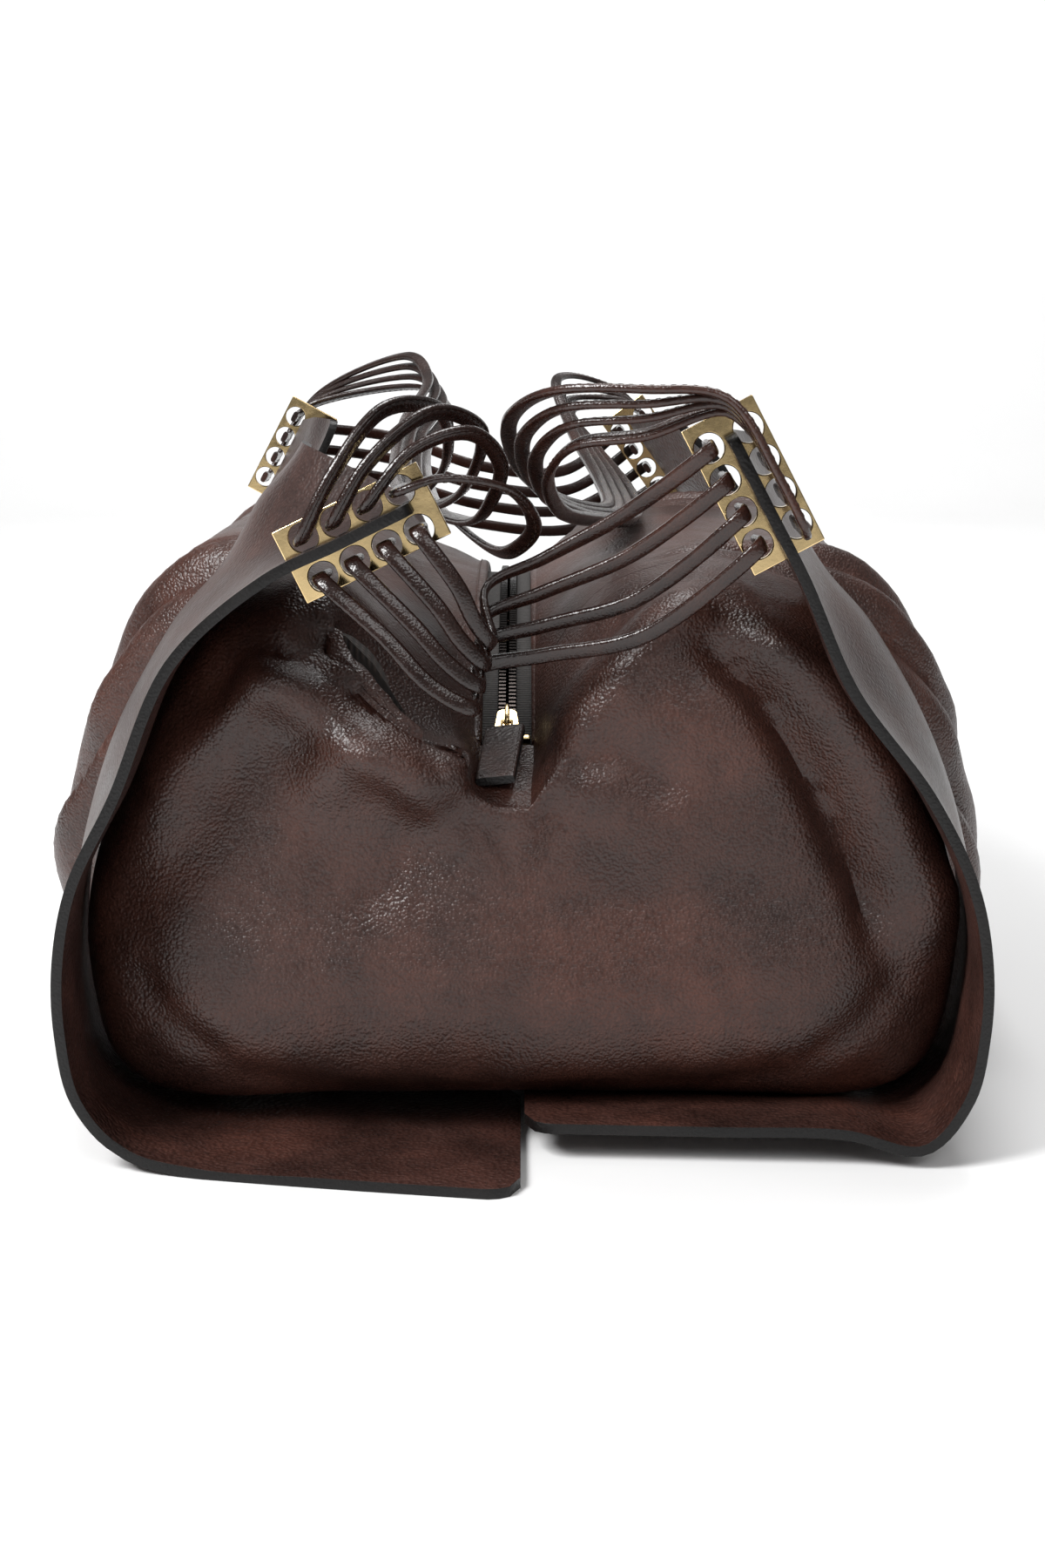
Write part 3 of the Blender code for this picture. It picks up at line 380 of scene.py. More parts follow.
LEFT_HANDLE = [
    [(-0.0240, -0.2070, 0.2090), (-0.0040, -0.1970, 0.2050), (0.0035, -0.1800, 0.1930),
     (-0.0040, -0.1600, 0.1830), (-0.0240, -0.0800, 0.1860), (-0.0360, 0.0200, 0.1900),
     (-0.0400, 0.1000, 0.2010), (-0.0330, 0.1600, 0.2140), (-0.0480, 0.1880, 0.2220)],
    [(-0.0320, -0.2080, 0.2165), (-0.0160, -0.1980, 0.2215), (-0.0065, -0.1780, 0.2110),
     (-0.0120, -0.1550, 0.1945), (-0.0285, -0.0800, 0.1880), (-0.0405, 0.0200, 0.1915),
     (-0.0430, 0.1000, 0.2045), (-0.0360, 0.1600, 0.2183), (-0.0500, 0.1905, 0.2266)],
    [(-0.0440, -0.2090, 0.2135), (-0.0270, -0.1990, 0.2270), (-0.0125, -0.1760, 0.2210),
     (-0.0170, -0.1500, 0.2035), (-0.0330, -0.0800, 0.1905), (-0.0450, 0.0200, 0.1935),
     (-0.0460, 0.1000, 0.2080), (-0.0390, 0.1600, 0.2226), (-0.0520, 0.1930, 0.2312)],
    [(-0.0550, -0.2090, 0.2090), (-0.0410, -0.1990, 0.2275), (-0.0250, -0.1750, 0.2270),
     (-0.0235, -0.1470, 0.2115), (-0.0375, -0.0800, 0.1930), (-0.0495, 0.0200, 0.1955),
     (-0.0490, 0.1000, 0.2120), (-0.0420, 0.1600, 0.2269), (-0.0540, 0.1955, 0.2358)],
]
RIGHT_HANDLE = [
    [(0.0350, -0.2080, 0.2215), (0.0160, -0.2010, 0.2185), (0.0080, -0.1820, 0.2085),
     (0.0110, -0.1520, 0.1960), (0.0245, -0.0920, 0.1868), (0.0420, -0.0200, 0.1810),
     (0.0430, 0.0700, 0.1850), (0.0310, 0.1500, 0.1980),
     (0.0220, 0.1880, 0.2100), (0.0320, 0.2045, 0.2135)],
    [(0.0350, -0.2115, 0.2262), (0.0140, -0.2030, 0.2238), (0.0045, -0.1830, 0.2145),
     (0.0065, -0.1500, 0.2010), (0.0195, -0.0900, 0.1890), (0.0380, -0.0200, 0.1824),
     (0.0390, 0.0700, 0.1862), (0.0275, 0.1500, 0.2010),
     (0.0200, 0.1895, 0.2152), (0.0320, 0.2100, 0.2166)],
    [(0.0345, -0.2150, 0.2303), (0.0120, -0.2055, 0.2288), (0.0010, -0.1845, 0.2205),
     (0.0020, -0.1470, 0.2060), (0.0145, -0.0880, 0.1918), (0.0340, -0.0200, 0.1838),
     (0.0350, 0.0700, 0.1874), (0.0240, 0.1500, 0.2042),
     (0.0180, 0.1910, 0.2204), (0.0320, 0.2150, 0.2202)],
    [(0.0340, -0.2185, 0.2345), (0.0100, -0.2085, 0.2338), (-0.0025, -0.1860, 0.2265),
     (-0.0025, -0.1450, 0.2110), (0.0095, -0.0860, 0.1950), (0.0300, -0.0200, 0.1854),
     (0.0310, 0.0700, 0.1888), (0.0205, 0.1500, 0.2074),
     (0.0160, 0.1925, 0.2256), (0.0320, 0.2195, 0.2245)],
]


def through_hole(side, end, row, k, reach):
    """The start of a lace: from behind its plate, through its hole, to the given reach in front."""
    hole = hole_centre(side, end, row, k)
    away = Vector((0.0, ENDS[end], 0.0))
    return [hole - away * STUB_INSIDE, hole, hole + away * reach]


def over_the_tip(side, end, k):
    """A handle lace's way from its hole's front up along the plate and over the band's tip."""
    tip, slope = BANDS[side, end][:2]
    sign = SIDES[side]
    y = ENDS[end] * (PLATE_Y + HANDLE_EXIT + HANDLE_STEP * k)
    top = hole_centre(side, end, "outer", 0)
    hole = hole_centre(side, end, "outer", k)
    crossing = Vector((sign * (tip[0] - 0.002), y, tip[1] + 0.0075 + 0.0012 * k))
    points = through_hole(side, end, "outer", k, HANDLE_EXIT + HANDLE_STEP * k - 0.0025)
    if k:
        part = hole.lerp(top, 0.55 if k > 1 else 0.5)
        points.append(Vector((part.x, y, part.z)))
    return points + [crossing]


def lace_route(kind, k):
    """Points that a lace follows from hole k of one plate to hole k of another."""
    if kind == "near_closing":
        start = through_hole("left", "near", "inner", k, CLOSING_EXIT)
        stop = through_hole("right", "near", "inner", k, CLOSING_EXIT)
        return start + [Vector(p) for p in NEAR_CLOSING[k]] + stop[::-1]
    if kind == "far_closing":
        start = through_hole("left", "far", "inner", k, CLOSING_EXIT)
        stop = through_hole("right", "far", "inner", k, CLOSING_EXIT)
        return start + [Vector(p) for p in FAR_CLOSING[k]] + stop[::-1]
    if kind == "left_handle":
        start = through_hole("left", "near", "outer", k, CLOSING_EXIT - 0.001)
        middle = [Vector(p) for p in LEFT_HANDLE[k]]
        return start + middle + over_the_tip("left", "far", k)[::-1]
    middle = [Vector(p) for p in RIGHT_HANDLE[k]]
    return over_the_tip("right", "near", k) + middle + over_the_tip("right", "far", k)[::-1]




LACE_WIDTH, LACE_THICKNESS = 0.0050, 0.0023
LACE_RING_STEP = 0.0026
STITCH_PITCH, STITCH_LENGTH = 0.0030, 0.0021
# One strap's section, right edge first: x is a share of half the width, y of half the thickness.
STRAP_SECTION = [(1.0, 0.0), (0.94, 0.62), (0.74, 0.98), (0.56, 1.0), (0.49, 0.80), (0.42, 1.0),
                 (0.0, 1.08), (-0.55, 1.0), (-0.90, 0.72), (-1.0, 0.0), (-0.92, -0.70),
                 (-0.6, -1.0), (0.0, -1.04), (0.6, -1.0), (0.92, -0.70)]


def transported(points, start_across, end_across):
    """Directions across a strap that turn as little as possible, from one given one to another."""
    tangents = []
    for k, p in enumerate(points):
        tangents.append((points[min(k + 1, len(points) - 1)] - points[max(k - 1, 0)]).normalized())
    across = (start_across - tangents[0] * start_across.dot(tangents[0])).normalized()
    turned = [across]
    for a, b in zip(tangents, tangents[1:]):
        across = a.rotation_difference(b) @ across
        across = (across - b * across.dot(b)).normalized()
        turned.append(across)
    last = tangents[-1]
    wanted = (end_across - last * end_across.dot(last)).normalized()
    angle = math.atan2(turned[-1].cross(wanted).dot(last), turned[-1].dot(wanted))
    if angle > math.pi / 2:
        angle -= math.pi
    if angle < -math.pi / 2:
        angle += math.pi
    count = len(points) - 1
    spun = [Matrix.Rotation(angle * smoothstep(k / count), 3, t) @ w
            for k, (w, t) in enumerate(zip(turned, tangents))]
    return tangents, spun


def strap_mesh(name, points, start_across, end_across, seed):
    tangents, across = transported(points, start_across, end_across)
    verts, faces, slots = [], [], []
    size = len(STRAP_SECTION)
    for k, (p, t, w) in enumerate(zip(points, tangents, across)):
        up = t.cross(w)
        ripple = 1.0 + 0.05 * noise.noise(Vector((k * 0.23, seed * 7.1, 0.0)))
        for x, y in STRAP_SECTION:
            verts.append(p + w * x * LACE_WIDTH / 2 * ripple + up * y * LACE_THICKNESS / 2)
    for k in range(len(points) - 1):
        for i in range(size):
            a, b = k * size + i, k * size + (i + 1) % size
            faces.append([a, b, b + size, a + size])
            slots.append(0)
    faces += [list(range(size))[::-1], [(len(points) - 1) * size + i for i in range(size)]]
    slots += [0, 0]
    lengths = [0.0]
    for a, b in zip(points, points[1:]):
        lengths.append(lengths[-1] + (b - a).length)
    k, place = 0, 0.010
    while place + STITCH_LENGTH < lengths[-1] - 0.010:
        while lengths[k + 1] < place + STITCH_LENGTH / 2:
            k += 1
        part = (place + STITCH_LENGTH / 2 - lengths[k]) / (lengths[k + 1] - lengths[k])
        p, t, w = points[k].lerp(points[k + 1], part), tangents[k], across[k]
        up = t.cross(w)
        middle = p + w * 0.49 * LACE_WIDTH / 2 + up * LACE_THICKNESS / 2 * 0.86
        base = len(verts)
        for along, wide, high in ((-1, 0, 0.0), (-0.6, -1, 0.1), (-0.6, 1, 0.1), (-0.5, 0, 1.0),
                                  (0.5, 0, 1.0), (0.6, -1, 0.1), (0.6, 1, 0.1), (1, 0, 0.0)):
            verts.append(middle + t * along * STITCH_LENGTH / 2 + w * wide * 0.00024
                         + up * high * 0.00034)
        for face in ((0, 3, 1), (0, 2, 3), (1, 3, 4, 5), (2, 6, 4, 3), (5, 4, 7), (6, 7, 4),
                     (0, 1, 5, 7), (0, 7, 6, 2)):
            faces.append([base + i for i in face])
            slots.append(1)
        place += STITCH_PITCH
    return new_object(name, verts, faces, [LACE, THREAD], slots, sharp_deg=60)


LACE_ENDS = {"left_handle": (("left", "near", "outer"), ("left", "far", "outer")),
             "right_handle": (("right", "near", "outer"), ("right", "far", "outer")),
             "near_closing": (("left", "near", "inner"), ("right", "near", "inner")),
             "far_closing": (("left", "far", "inner"), ("right", "far", "inner"))}

for lace_kind, (lace_from, lace_to) in LACE_ENDS.items():
    for k in range(HOLES_PER_ROW):
        route = lace_route(lace_kind, k)
        total = path_length(smooth_path(route, 200))
        line = smooth_path(route, round(total / LACE_RING_STEP) + 1)
        start_down = plate_frame(*lace_from[:2])[1]
        end_down = plate_frame(*lace_to[:2])[1]
        strap = strap_mesh(f"strap_{lace_kind}_{k + 1}", line, start_down, end_down, k)
        finish_piece(strap, "bag", "lace_leather", f"lace_{lace_kind}_{k + 1}")


# ------------------------------------------------------------------ body
SKIN_THICKNESS = 0.0022
SEAM_GAP = 0.0002
SECTION_COLUMNS = 84
SHIFT_SHARE = 0.43            # the first part of the half section follows the zip's offset


def fullness(y):
    return max(0.0, 1.0 - (abs(y) / BODY_HALF_LENGTH) ** END_POWER) ** (1.0 / END_POWER)


def y_at_fullness(full):
    return BODY_HALF_LENGTH * (1.0 - full ** END_POWER) ** (1.0 / END_POWER)


def end_notch():
    """Depth of the valley at the zip's end, as a share of the shoulder's height there."""
    shoulder = (SHOULDER_Z - CENTRE_Z) * fullness(ZIP_END_Y)
    return (shoulder + CENTRE_Z - zip_height(ZIP_END_Y)) / shoulder


def half_section(y, side):
    full = fullness(y)
    past = min(1.0, full / fullness(ZIP_END_Y))
    drawn_in = smoothstep((abs(y) - SLIMMING_FROM_Y) / (SLIMMING_TO_Y - SLIMMING_FROM_Y))
    width = full * (1.0 - END_SLIMMING * drawn_in)
    shoulder = CENTRE_Z + (SHOULDER_Z - CENTRE_Z) * full
    valley = zip_height(y)
    if abs(y) > ZIP_END_Y:
        deeper = 1.0 + NOTCH_DEEPENS * smoothstep((abs(y) - ZIP_END_Y) / NOTCH_STEP)
        notch = end_notch() * deeper * smoothstep(full / NOTCH_FADE)
        valley = shoulder - (shoulder - CENTRE_Z) * notch
    rise = shoulder - valley
    (foot_x, foot), (wall_x, wall) = VALLEY_WALL[side]
    open_out = smoothstep((abs(y) - ZIP_END_Y + 0.004) / 0.022)
    foot_x, foot = foot_x - 0.0012 * open_out, foot * (1.0 - 0.55 * open_out)
    wall_x, wall = wall_x + 0.0035 * open_out, wall * (1.0 - 0.22 * open_out)
    points = [(ZIP_SLOT * past, valley), (foot_x * past, valley + foot * rise),
              (wall_x * width, valley + wall * rise)]
    points += [(x * width, CENTRE_Z + (z - CENTRE_Z) * full) for x, z in HALF_SECTION]
    return smooth_path([(x, 0.0, z) for x, z in points], SECTION_COLUMNS + 1, steps=16)


def section(y):
    """Points from the zip's right edge round the base to its left edge."""
    end = math.copysign(1.0, y)
    full = fullness(y)
    past = min(1.0, full / fullness(ZIP_END_Y))
    swell = END_BULGE * max(0.0, 1.0 - (full / fullness(SEAM_Y)) ** 2)
    points = []
    for side in (1, -1):
        half = [Vector((side * p.x + ZIP_X * past * max(0.0, 1.0 - k / SECTION_COLUMNS / SHIFT_SHARE),
                        y + end * swell, p.z)) for k, p in enumerate(half_section(y, side))]
        points += half if side > 0 else half[-2::-1]
    return points


def along_fold(p, line):
    """Distance of a point from a line of points, the share of its length there, and the side."""
    best = (1e9, 0.0, 1.0)
    for k, (a, b) in enumerate(zip(line, line[1:])):
        ax, az, bx, bz = a[0], a[1], b[0], b[1]
        dx, dz = bx - ax, bz - az
        t = min(1.0, max(0.0, ((p[0] - ax) * dx + (p[1] - az) * dz) / (dx * dx + dz * dz)))
        ox, oz = p[0] - ax - dx * t, p[1] - az - dz * t
        away = math.hypot(ox, oz)
        if away < best[0]:
            best = (away, (k + t) / (len(line) - 1), 1.0 if dx * oz - dz * ox > 0 else -1.0)
    return best


def end_folds(x, z, folds):
    """Height of the folds of an end panel: each is (points, half width, height, lean)."""
    total = 0.0
    for line, width, height, lean in folds:
        away, share, side = along_fold((x, z), line)
        if away > 3.2 * width:
            continue
        fade = smoothstep(share / 0.18) * smoothstep((1.0 - share) / 0.25)
        half = width * (1.0 + lean * side)
        total += FOLD_DEPTH * height * fade * math.exp(-(away / half) ** 2)
    return total


FOLD_DEPTH = 1.8
LOW_BELLY, LOW_BELLY_Z = 0.0090, 0.044       # the end panels sag outwards above the base
NEAR_FOLDS = [
    # ridge and groove pairs that spread from the zip's end
    ([(-0.012, 0.118), (-0.040, 0.128), (-0.075, 0.112)], 0.0110, 0.0040, 0.2),
    ([(-0.016, 0.112), (-0.034, 0.098), (-0.052, 0.070)], 0.0060, -0.0016, 0.0),
    ([(-0.006, 0.106), (-0.012, 0.088), (-0.020, 0.062)], 0.0060, -0.0014, 0.0),
    ([(0.004, 0.112), (0.018, 0.098), (0.030, 0.070)], 0.0065, -0.0015, 0.0),
    ([(0.010, 0.122), (0.030, 0.124), (0.052, 0.108)], 0.0065, -0.0018, 0.2),
    ([(-0.030, 0.124), (-0.020, 0.142), (-0.024, 0.160)], 0.0055, -0.0022, 0.0),
    # the long rolled pleat beside the right band and its groove
    ([(0.058, 0.168), (0.086, 0.146), (0.106, 0.116), (0.122, 0.078), (0.128, 0.046)],
     0.0075, 0.0060, 0.15),
    ([(0.048, 0.166), (0.072, 0.144), (0.091, 0.114), (0.106, 0.080), (0.112, 0.050)],
     0.0055, -0.0040, 0.0),
    # a pleat that comes out from under the left band and runs down to the zip's end
    ([(-0.086, 0.160), (-0.058, 0.147), (-0.034, 0.131), (-0.014, 0.114)], 0.0034, -0.0036, 0.0),
    ([(-0.090, 0.150), (-0.062, 0.136), (-0.038, 0.119), (-0.018, 0.100)], 0.0085, 0.0034, 0.2),
    # the fold from the zip's end up to the right shoulder
    ([(0.004, 0.122), (0.022, 0.144), (0.042, 0.162), (0.064, 0.172)], 0.0080, 0.0034, 0.1),
    # the left pillow's upper fold and the hollow above it
    ([(-0.048, 0.150), (-0.078, 0.146), (-0.104, 0.120), (-0.124, 0.078)], 0.0070, 0.0034, 0.1),
    ([(-0.020, 0.138), (-0.046, 0.160), (-0.074, 0.160)], 0.0110, -0.0068, 0.0),
    # soft puckers above the base
    ([(-0.110, 0.030), (-0.060, 0.018), (0.000, 0.016), (0.060, 0.019), (0.110, 0.032)],
     0.0060, -0.0018, 0.0),
    ([(-0.122, 0.060), (-0.108, 0.040), (-0.086, 0.026)], 0.0050, -0.0014, 0.0),
    ([(0.120, 0.060), (0.106, 0.040), (0.084, 0.026)], 0.0050, -0.0014, 0.0),
]
FAR_FOLDS = [([(-x, z) for x, z in line], width, height, lean)
             for line, width, height, lean in NEAR_FOLDS]

PLEAT_PITCH, PLEAT_HEIGHT, PLEAT_SLANT = 0.0460, 0.0100, 1.9
SIDE_SWELL = (0.0062, 0.0060)    # how far the left and right sides swell behind the bands
PLEAT_REACH, BAND_BACK_Y = 0.075, BAND_END_Y - BAND_WIDTH


def pleats(y, around, seed):
    """Gathered folds that come out from under each band and run back over the shoulder."""
    behind = BAND_BACK_Y - abs(y)
    if behind < -0.008 or behind > PLEAT_REACH:
        return 0.0
    grow = smoothstep((behind + 0.006) / 0.020) * smoothstep((PLEAT_REACH - behind) / 0.055)
    window = smoothstep((around - 0.050) / 0.035) * smoothstep((0.270 - around) / 0.075)
    wander = 0.35 * noise.noise(Vector((y * 22.0, around * 9.0, seed)))
    phase = (around - PLEAT_SLANT * behind - 0.012 * seed) / PLEAT_PITCH + wander
    height = abs(math.sin(math.pi * phase)) ** 0.8 - 0.55
    vary = 0.75 + 0.5 * noise.noise(Vector((math.floor(phase) * 3.7, seed, 0.5)))
    return PLEAT_HEIGHT * grow * window * height * vary


def body_stations():
    ends = [y_at_fullness(math.sin(0.5 * math.pi * k / 44)) for k in range(44)]
    ends = [y for y in ends if y > SEAM_Y + 0.004]
    ends = [y for k, y in enumerate(ends) if k == 0 or ends[k - 1] - y > 1e-7]
    step, y = 0.0024, ends[-1] - 0.0024
    while y > SEAM_Y + 0.002:
        ends.append(y)
        y -= step
    ends.append(SEAM_Y + SEAM_GAP)
    middle = [(SEAM_Y - SEAM_GAP) * (1.0 - k / 50) for k in range(50)]
    half = ends + middle
    return [-y for y in half] + [0.0] + half[::-1]


def grid_normals(grid):
    rows, columns = len(grid), len(grid[0])
    out = []
    for r in range(rows):
        above, below = grid[max(r - 1, 0)], grid[min(r + 1, rows - 1)]
        line = []
        for c in range(columns):
            across = grid[r][min(c + 1, columns - 1)] - grid[r][max(c - 1, 0)]
            turned = across.cross(below[c] - above[c])
            if turned.length < 1e-12:
                turned = Vector((0, -1 if r < rows / 2 else 1, 0))
            line.append(turned.normalized())
        out.append(line)
    return out


def displaced_body():
    stations = body_stations()
    base = [section(y) for y in stations]
    turned = grid_normals(base)
    grid = []
    for y, row, directions in zip(stations, base, turned):
        around = [0.0]
        for a, b in zip(row, row[1:]):
            around.append(around[-1] + (b - a).length)
        whole = around[-1]
        line = []
        for c, (p, n) in enumerate(zip(row, directions)):
            from_zip = min(around[c], whole - around[c])
            right = around[c] < whole / 2
            seed = (1.0 if right else 2.0) + (0.0 if y < 0 else 4.0)
            past_zip = smoothstep((abs(y) - ZIP_END_Y) / 0.024)
            free = past_zip + (1.0 - past_zip) * smoothstep(from_zip / 0.016)
            off_base = smoothstep((p.z - 0.007) / 0.012)
            height = pleats(y, from_zip, seed) * off_base
            ending = smoothstep((abs(p.y) - 0.150) / 0.022) * off_base
            if ending > 0.0:
                folds = NEAR_FOLDS if y < 0 else FAR_FOLDS
                height += ending * end_folds(p.x, p.z, folds)
                low = math.exp(-((p.z - LOW_BELLY_Z) / 0.030) ** 2) * (1.0 - (p.x / 0.150) ** 2)
                height += LOW_BELLY * ending * max(0.0, low)
            q = Vector((p.x, p.y * 0.8, p.z))
            snug = smoothstep((abs(y) - 0.112) / 0.008) * smoothstep((0.178 - abs(y)) / 0.010) \
                * smoothstep((abs(p.x) - 0.075) / 0.020)
            slow = 0.0026 * noise.noise(q * 17.0 + Vector((3.0, 0, 0))) \
                + 0.0010 * noise.noise(q * 48.0) + 0.0002 * noise.noise(q * 120.0)
            height += slow * off_base * (1.0 - 0.75 * snug)
            height += snug * (0.0017 + 0.0016 * smoothstep((abs(y) - 0.140) / 0.020)) * off_base
            free_side = smoothstep((0.120 - abs(y)) / 0.030) * smoothstep((abs(p.x) - 0.070) / 0.040)
            swell = (SIDE_SWELL[0] if p.x < 0 else SIDE_SWELL[1]) + 0.004 * smoothstep((p.z - 0.09) / 0.03)
            height += swell * free_side * off_base
            line.append(p + n * height * free)
        grid.append(line)
    return stations, grid


def shell(name, outer, directions, thickness, materials, body, slot, replaced, missing=None):
    """A closed sheet from a grid of points; its inner face lies a thickness inside."""
    rows, columns = len(outer), len(outer[0])
    inner = [[p - n * thickness for p, n in zip(row, ns)] for row, ns in zip(outer, directions)]
    verts = [p for grid in (outer, inner) for row in grid for p in row]
    under = rows * columns
    faces, edges = [], {}
    for r in range(rows - 1):
        for c in range(columns - 1):
            if missing and missing(r, c):
                continue
            loop = [r * columns + c, r * columns + c + 1, (r + 1) * columns + c + 1,
                    (r + 1) * columns + c]
            faces.append(loop)
            faces.append([i + under for i in reversed(loop)])
            for a, b in zip(loop, loop[1:] + loop[:1]):
                key = tuple(sorted((tuple(round(x, 6) for x in verts[a]),
                                    tuple(round(x, 6) for x in verts[b]))))
                edges.setdefault(key, []).append((a, b))
    for uses in edges.values():
        a, b = uses[0]
        if len(uses) == 1 and (verts[a] - verts[b]).length > 1e-6:
            faces.append([b, a, a + under, b + under])
    thing = new_object(name, verts, faces, materials, sharp_deg=50)
    finish_piece(thing, body, slot, *replaced)
    return thing


stations, skin_grid = displaced_body()
skin_normals = grid_normals(skin_grid)
columns = len(skin_grid[0])
seam_rows = [i for i, y in enumerate(stations) if abs(abs(y) - SEAM_Y) < 1.5 * SEAM_GAP]
near_seam, side_start, side_end, far_seam = seam_rows
whole_count = columns - 1
BASE_SHARE = 0.655            # share of the half section where the side meets the base
base_column = round(SECTION_COLUMNS * BASE_SHARE)


def closed_end(rows):
    """The end's grid with a last column that closes it past the zip's end."""
    grid = [skin_grid[r] + [skin_grid[r][0].copy()] for r in rows]
    turned = [skin_normals[r] + [skin_normals[r][0].copy()] for r in rows]
    return grid, turned


for end_name, rows in (("near", range(0, near_seam + 1)), ("far", range(far_seam, len(stations)))):
    places = [stations[r] for r in rows]
    grid, turned = closed_end(rows)
    shell(f"{end_name}_end_skin", grid, turned, SKIN_THICKNESS, [SKIN], "bag", "body_leather",
          [f"{end_name}_end_panel"],
          lambda r, c, ys=places: c == whole_count and min(abs(ys[r]), abs(ys[r + 1])) < ZIP_END_Y)
side_rows = range(side_start, side_end + 1)
for side_name, first, last in (("right_side", 0, base_column),
                               ("left_side", whole_count - base_column, whole_count),
                               ("base", base_column, whole_count - base_column)):
    grid = [skin_grid[r][first:last + 1] for r in side_rows]
    turned = [skin_normals[r][first:last + 1] for r in side_rows]
    shell(f"{side_name}_skin", grid, turned, SKIN_THICKNESS, [SKIN], "bag", "body_leather",
          [f"{side_name}_panel"])


# ------------------------------------------------------------------ bands
BAND_ROWS, TIP_ROWS = 104, 22
FRONT_DEPTHS = [0.0, 0.0006, 0.0016, 0.0030, 0.0048, 0.0064]
FLAP_CORNER_RADIUS = {("left", "near"): 0.011, ("right", "near"): 0.009,
                      ("left", "far"): 0.011, ("right", "far"): 0.009}
TIP_CORNER_RADIUS = 0.0035
SLIT_REACH = PLATE_LENGTH - PLATE_PAST_TIP + 0.0003
INNER_FACE = 0.0011           # from a band's middle line to its inner face


def sampled(path, distances):
    """Points of a finely sampled path at the given distances from its start."""
    lengths = [0.0]
    for a, b in zip(path, path[1:]):
        lengths.append(lengths[-1] + (b - a).length)
    out, k = [], 0
    for want in distances:
        want = min(want, lengths[-1])
        while k < len(path) - 2 and lengths[k + 1] < want:
            k += 1
        part = (want - lengths[k]) / max(lengths[k + 1] - lengths[k], 1e-9)
        out.append(path[k].lerp(path[k + 1], min(1.0, max(0.0, part))))
    return out


def band_distances(total):
    tip = [SLIT_REACH * k / TIP_ROWS for k in range(TIP_ROWS)]
    rest = total - SLIT_REACH
    return tip + [SLIT_REACH + rest * k / BAND_ROWS for k in range(BAND_ROWS + 1)]


def band_profiles(spec):
    """The outer edge and the back edge of a band, as if it were on the right."""
    tip, slope, shoulder, back_tip, lift, _ = spec
    start = Vector((tip[0], 0.0, tip[1]))
    down = tip_direction(slope)
    edge = [start, start + down * TIP_STRAIGHT * 0.5, start + down * TIP_STRAIGHT]
    rest = [shoulder] + LOWER_EDGE + [(0.098, BAND_CENTRE_Z + lift), (0.060, BAND_CENTRE_Z + lift),
                                      (FLAP_END_X, BAND_CENTRE_Z + lift)]
    edge += [Vector((x, 0.0, z)) for x, z in rest]
    back = [back_tip, (0.094, 0.177), (0.1135, 0.1545)] + LOWER_BACK
    back += [(0.103, BAND_CENTRE_Z), (0.060, BAND_CENTRE_Z), (FLAP_END_X, BAND_CENTRE_Z)]
    back = [Vector((x, 0.0, z)) for x, z in back]
    profiles = []
    for points in (edge, back):
        fine = smooth_path(points, 420)
        profiles.append(sampled(fine, band_distances(path_length(fine))))
    return profiles


def corner_cut(distance, radius):
    """How far a rounded corner draws the edge in at a distance from the band's end."""
    if distance >= radius:
        return 0.0
    return radius - math.sqrt(max(0.0, radius ** 2 - (radius - distance) ** 2))


def flap_swing(p, swing):
    """How far a point of a band is moved outwards by the flap's swing under the bag."""
    if p.z > FLAP_TOP_Z:
        return 0.0
    return swing * min(1.0, max(0.0, 1.0 - p.x / FLAP_HINGE_X)) ** 0.8


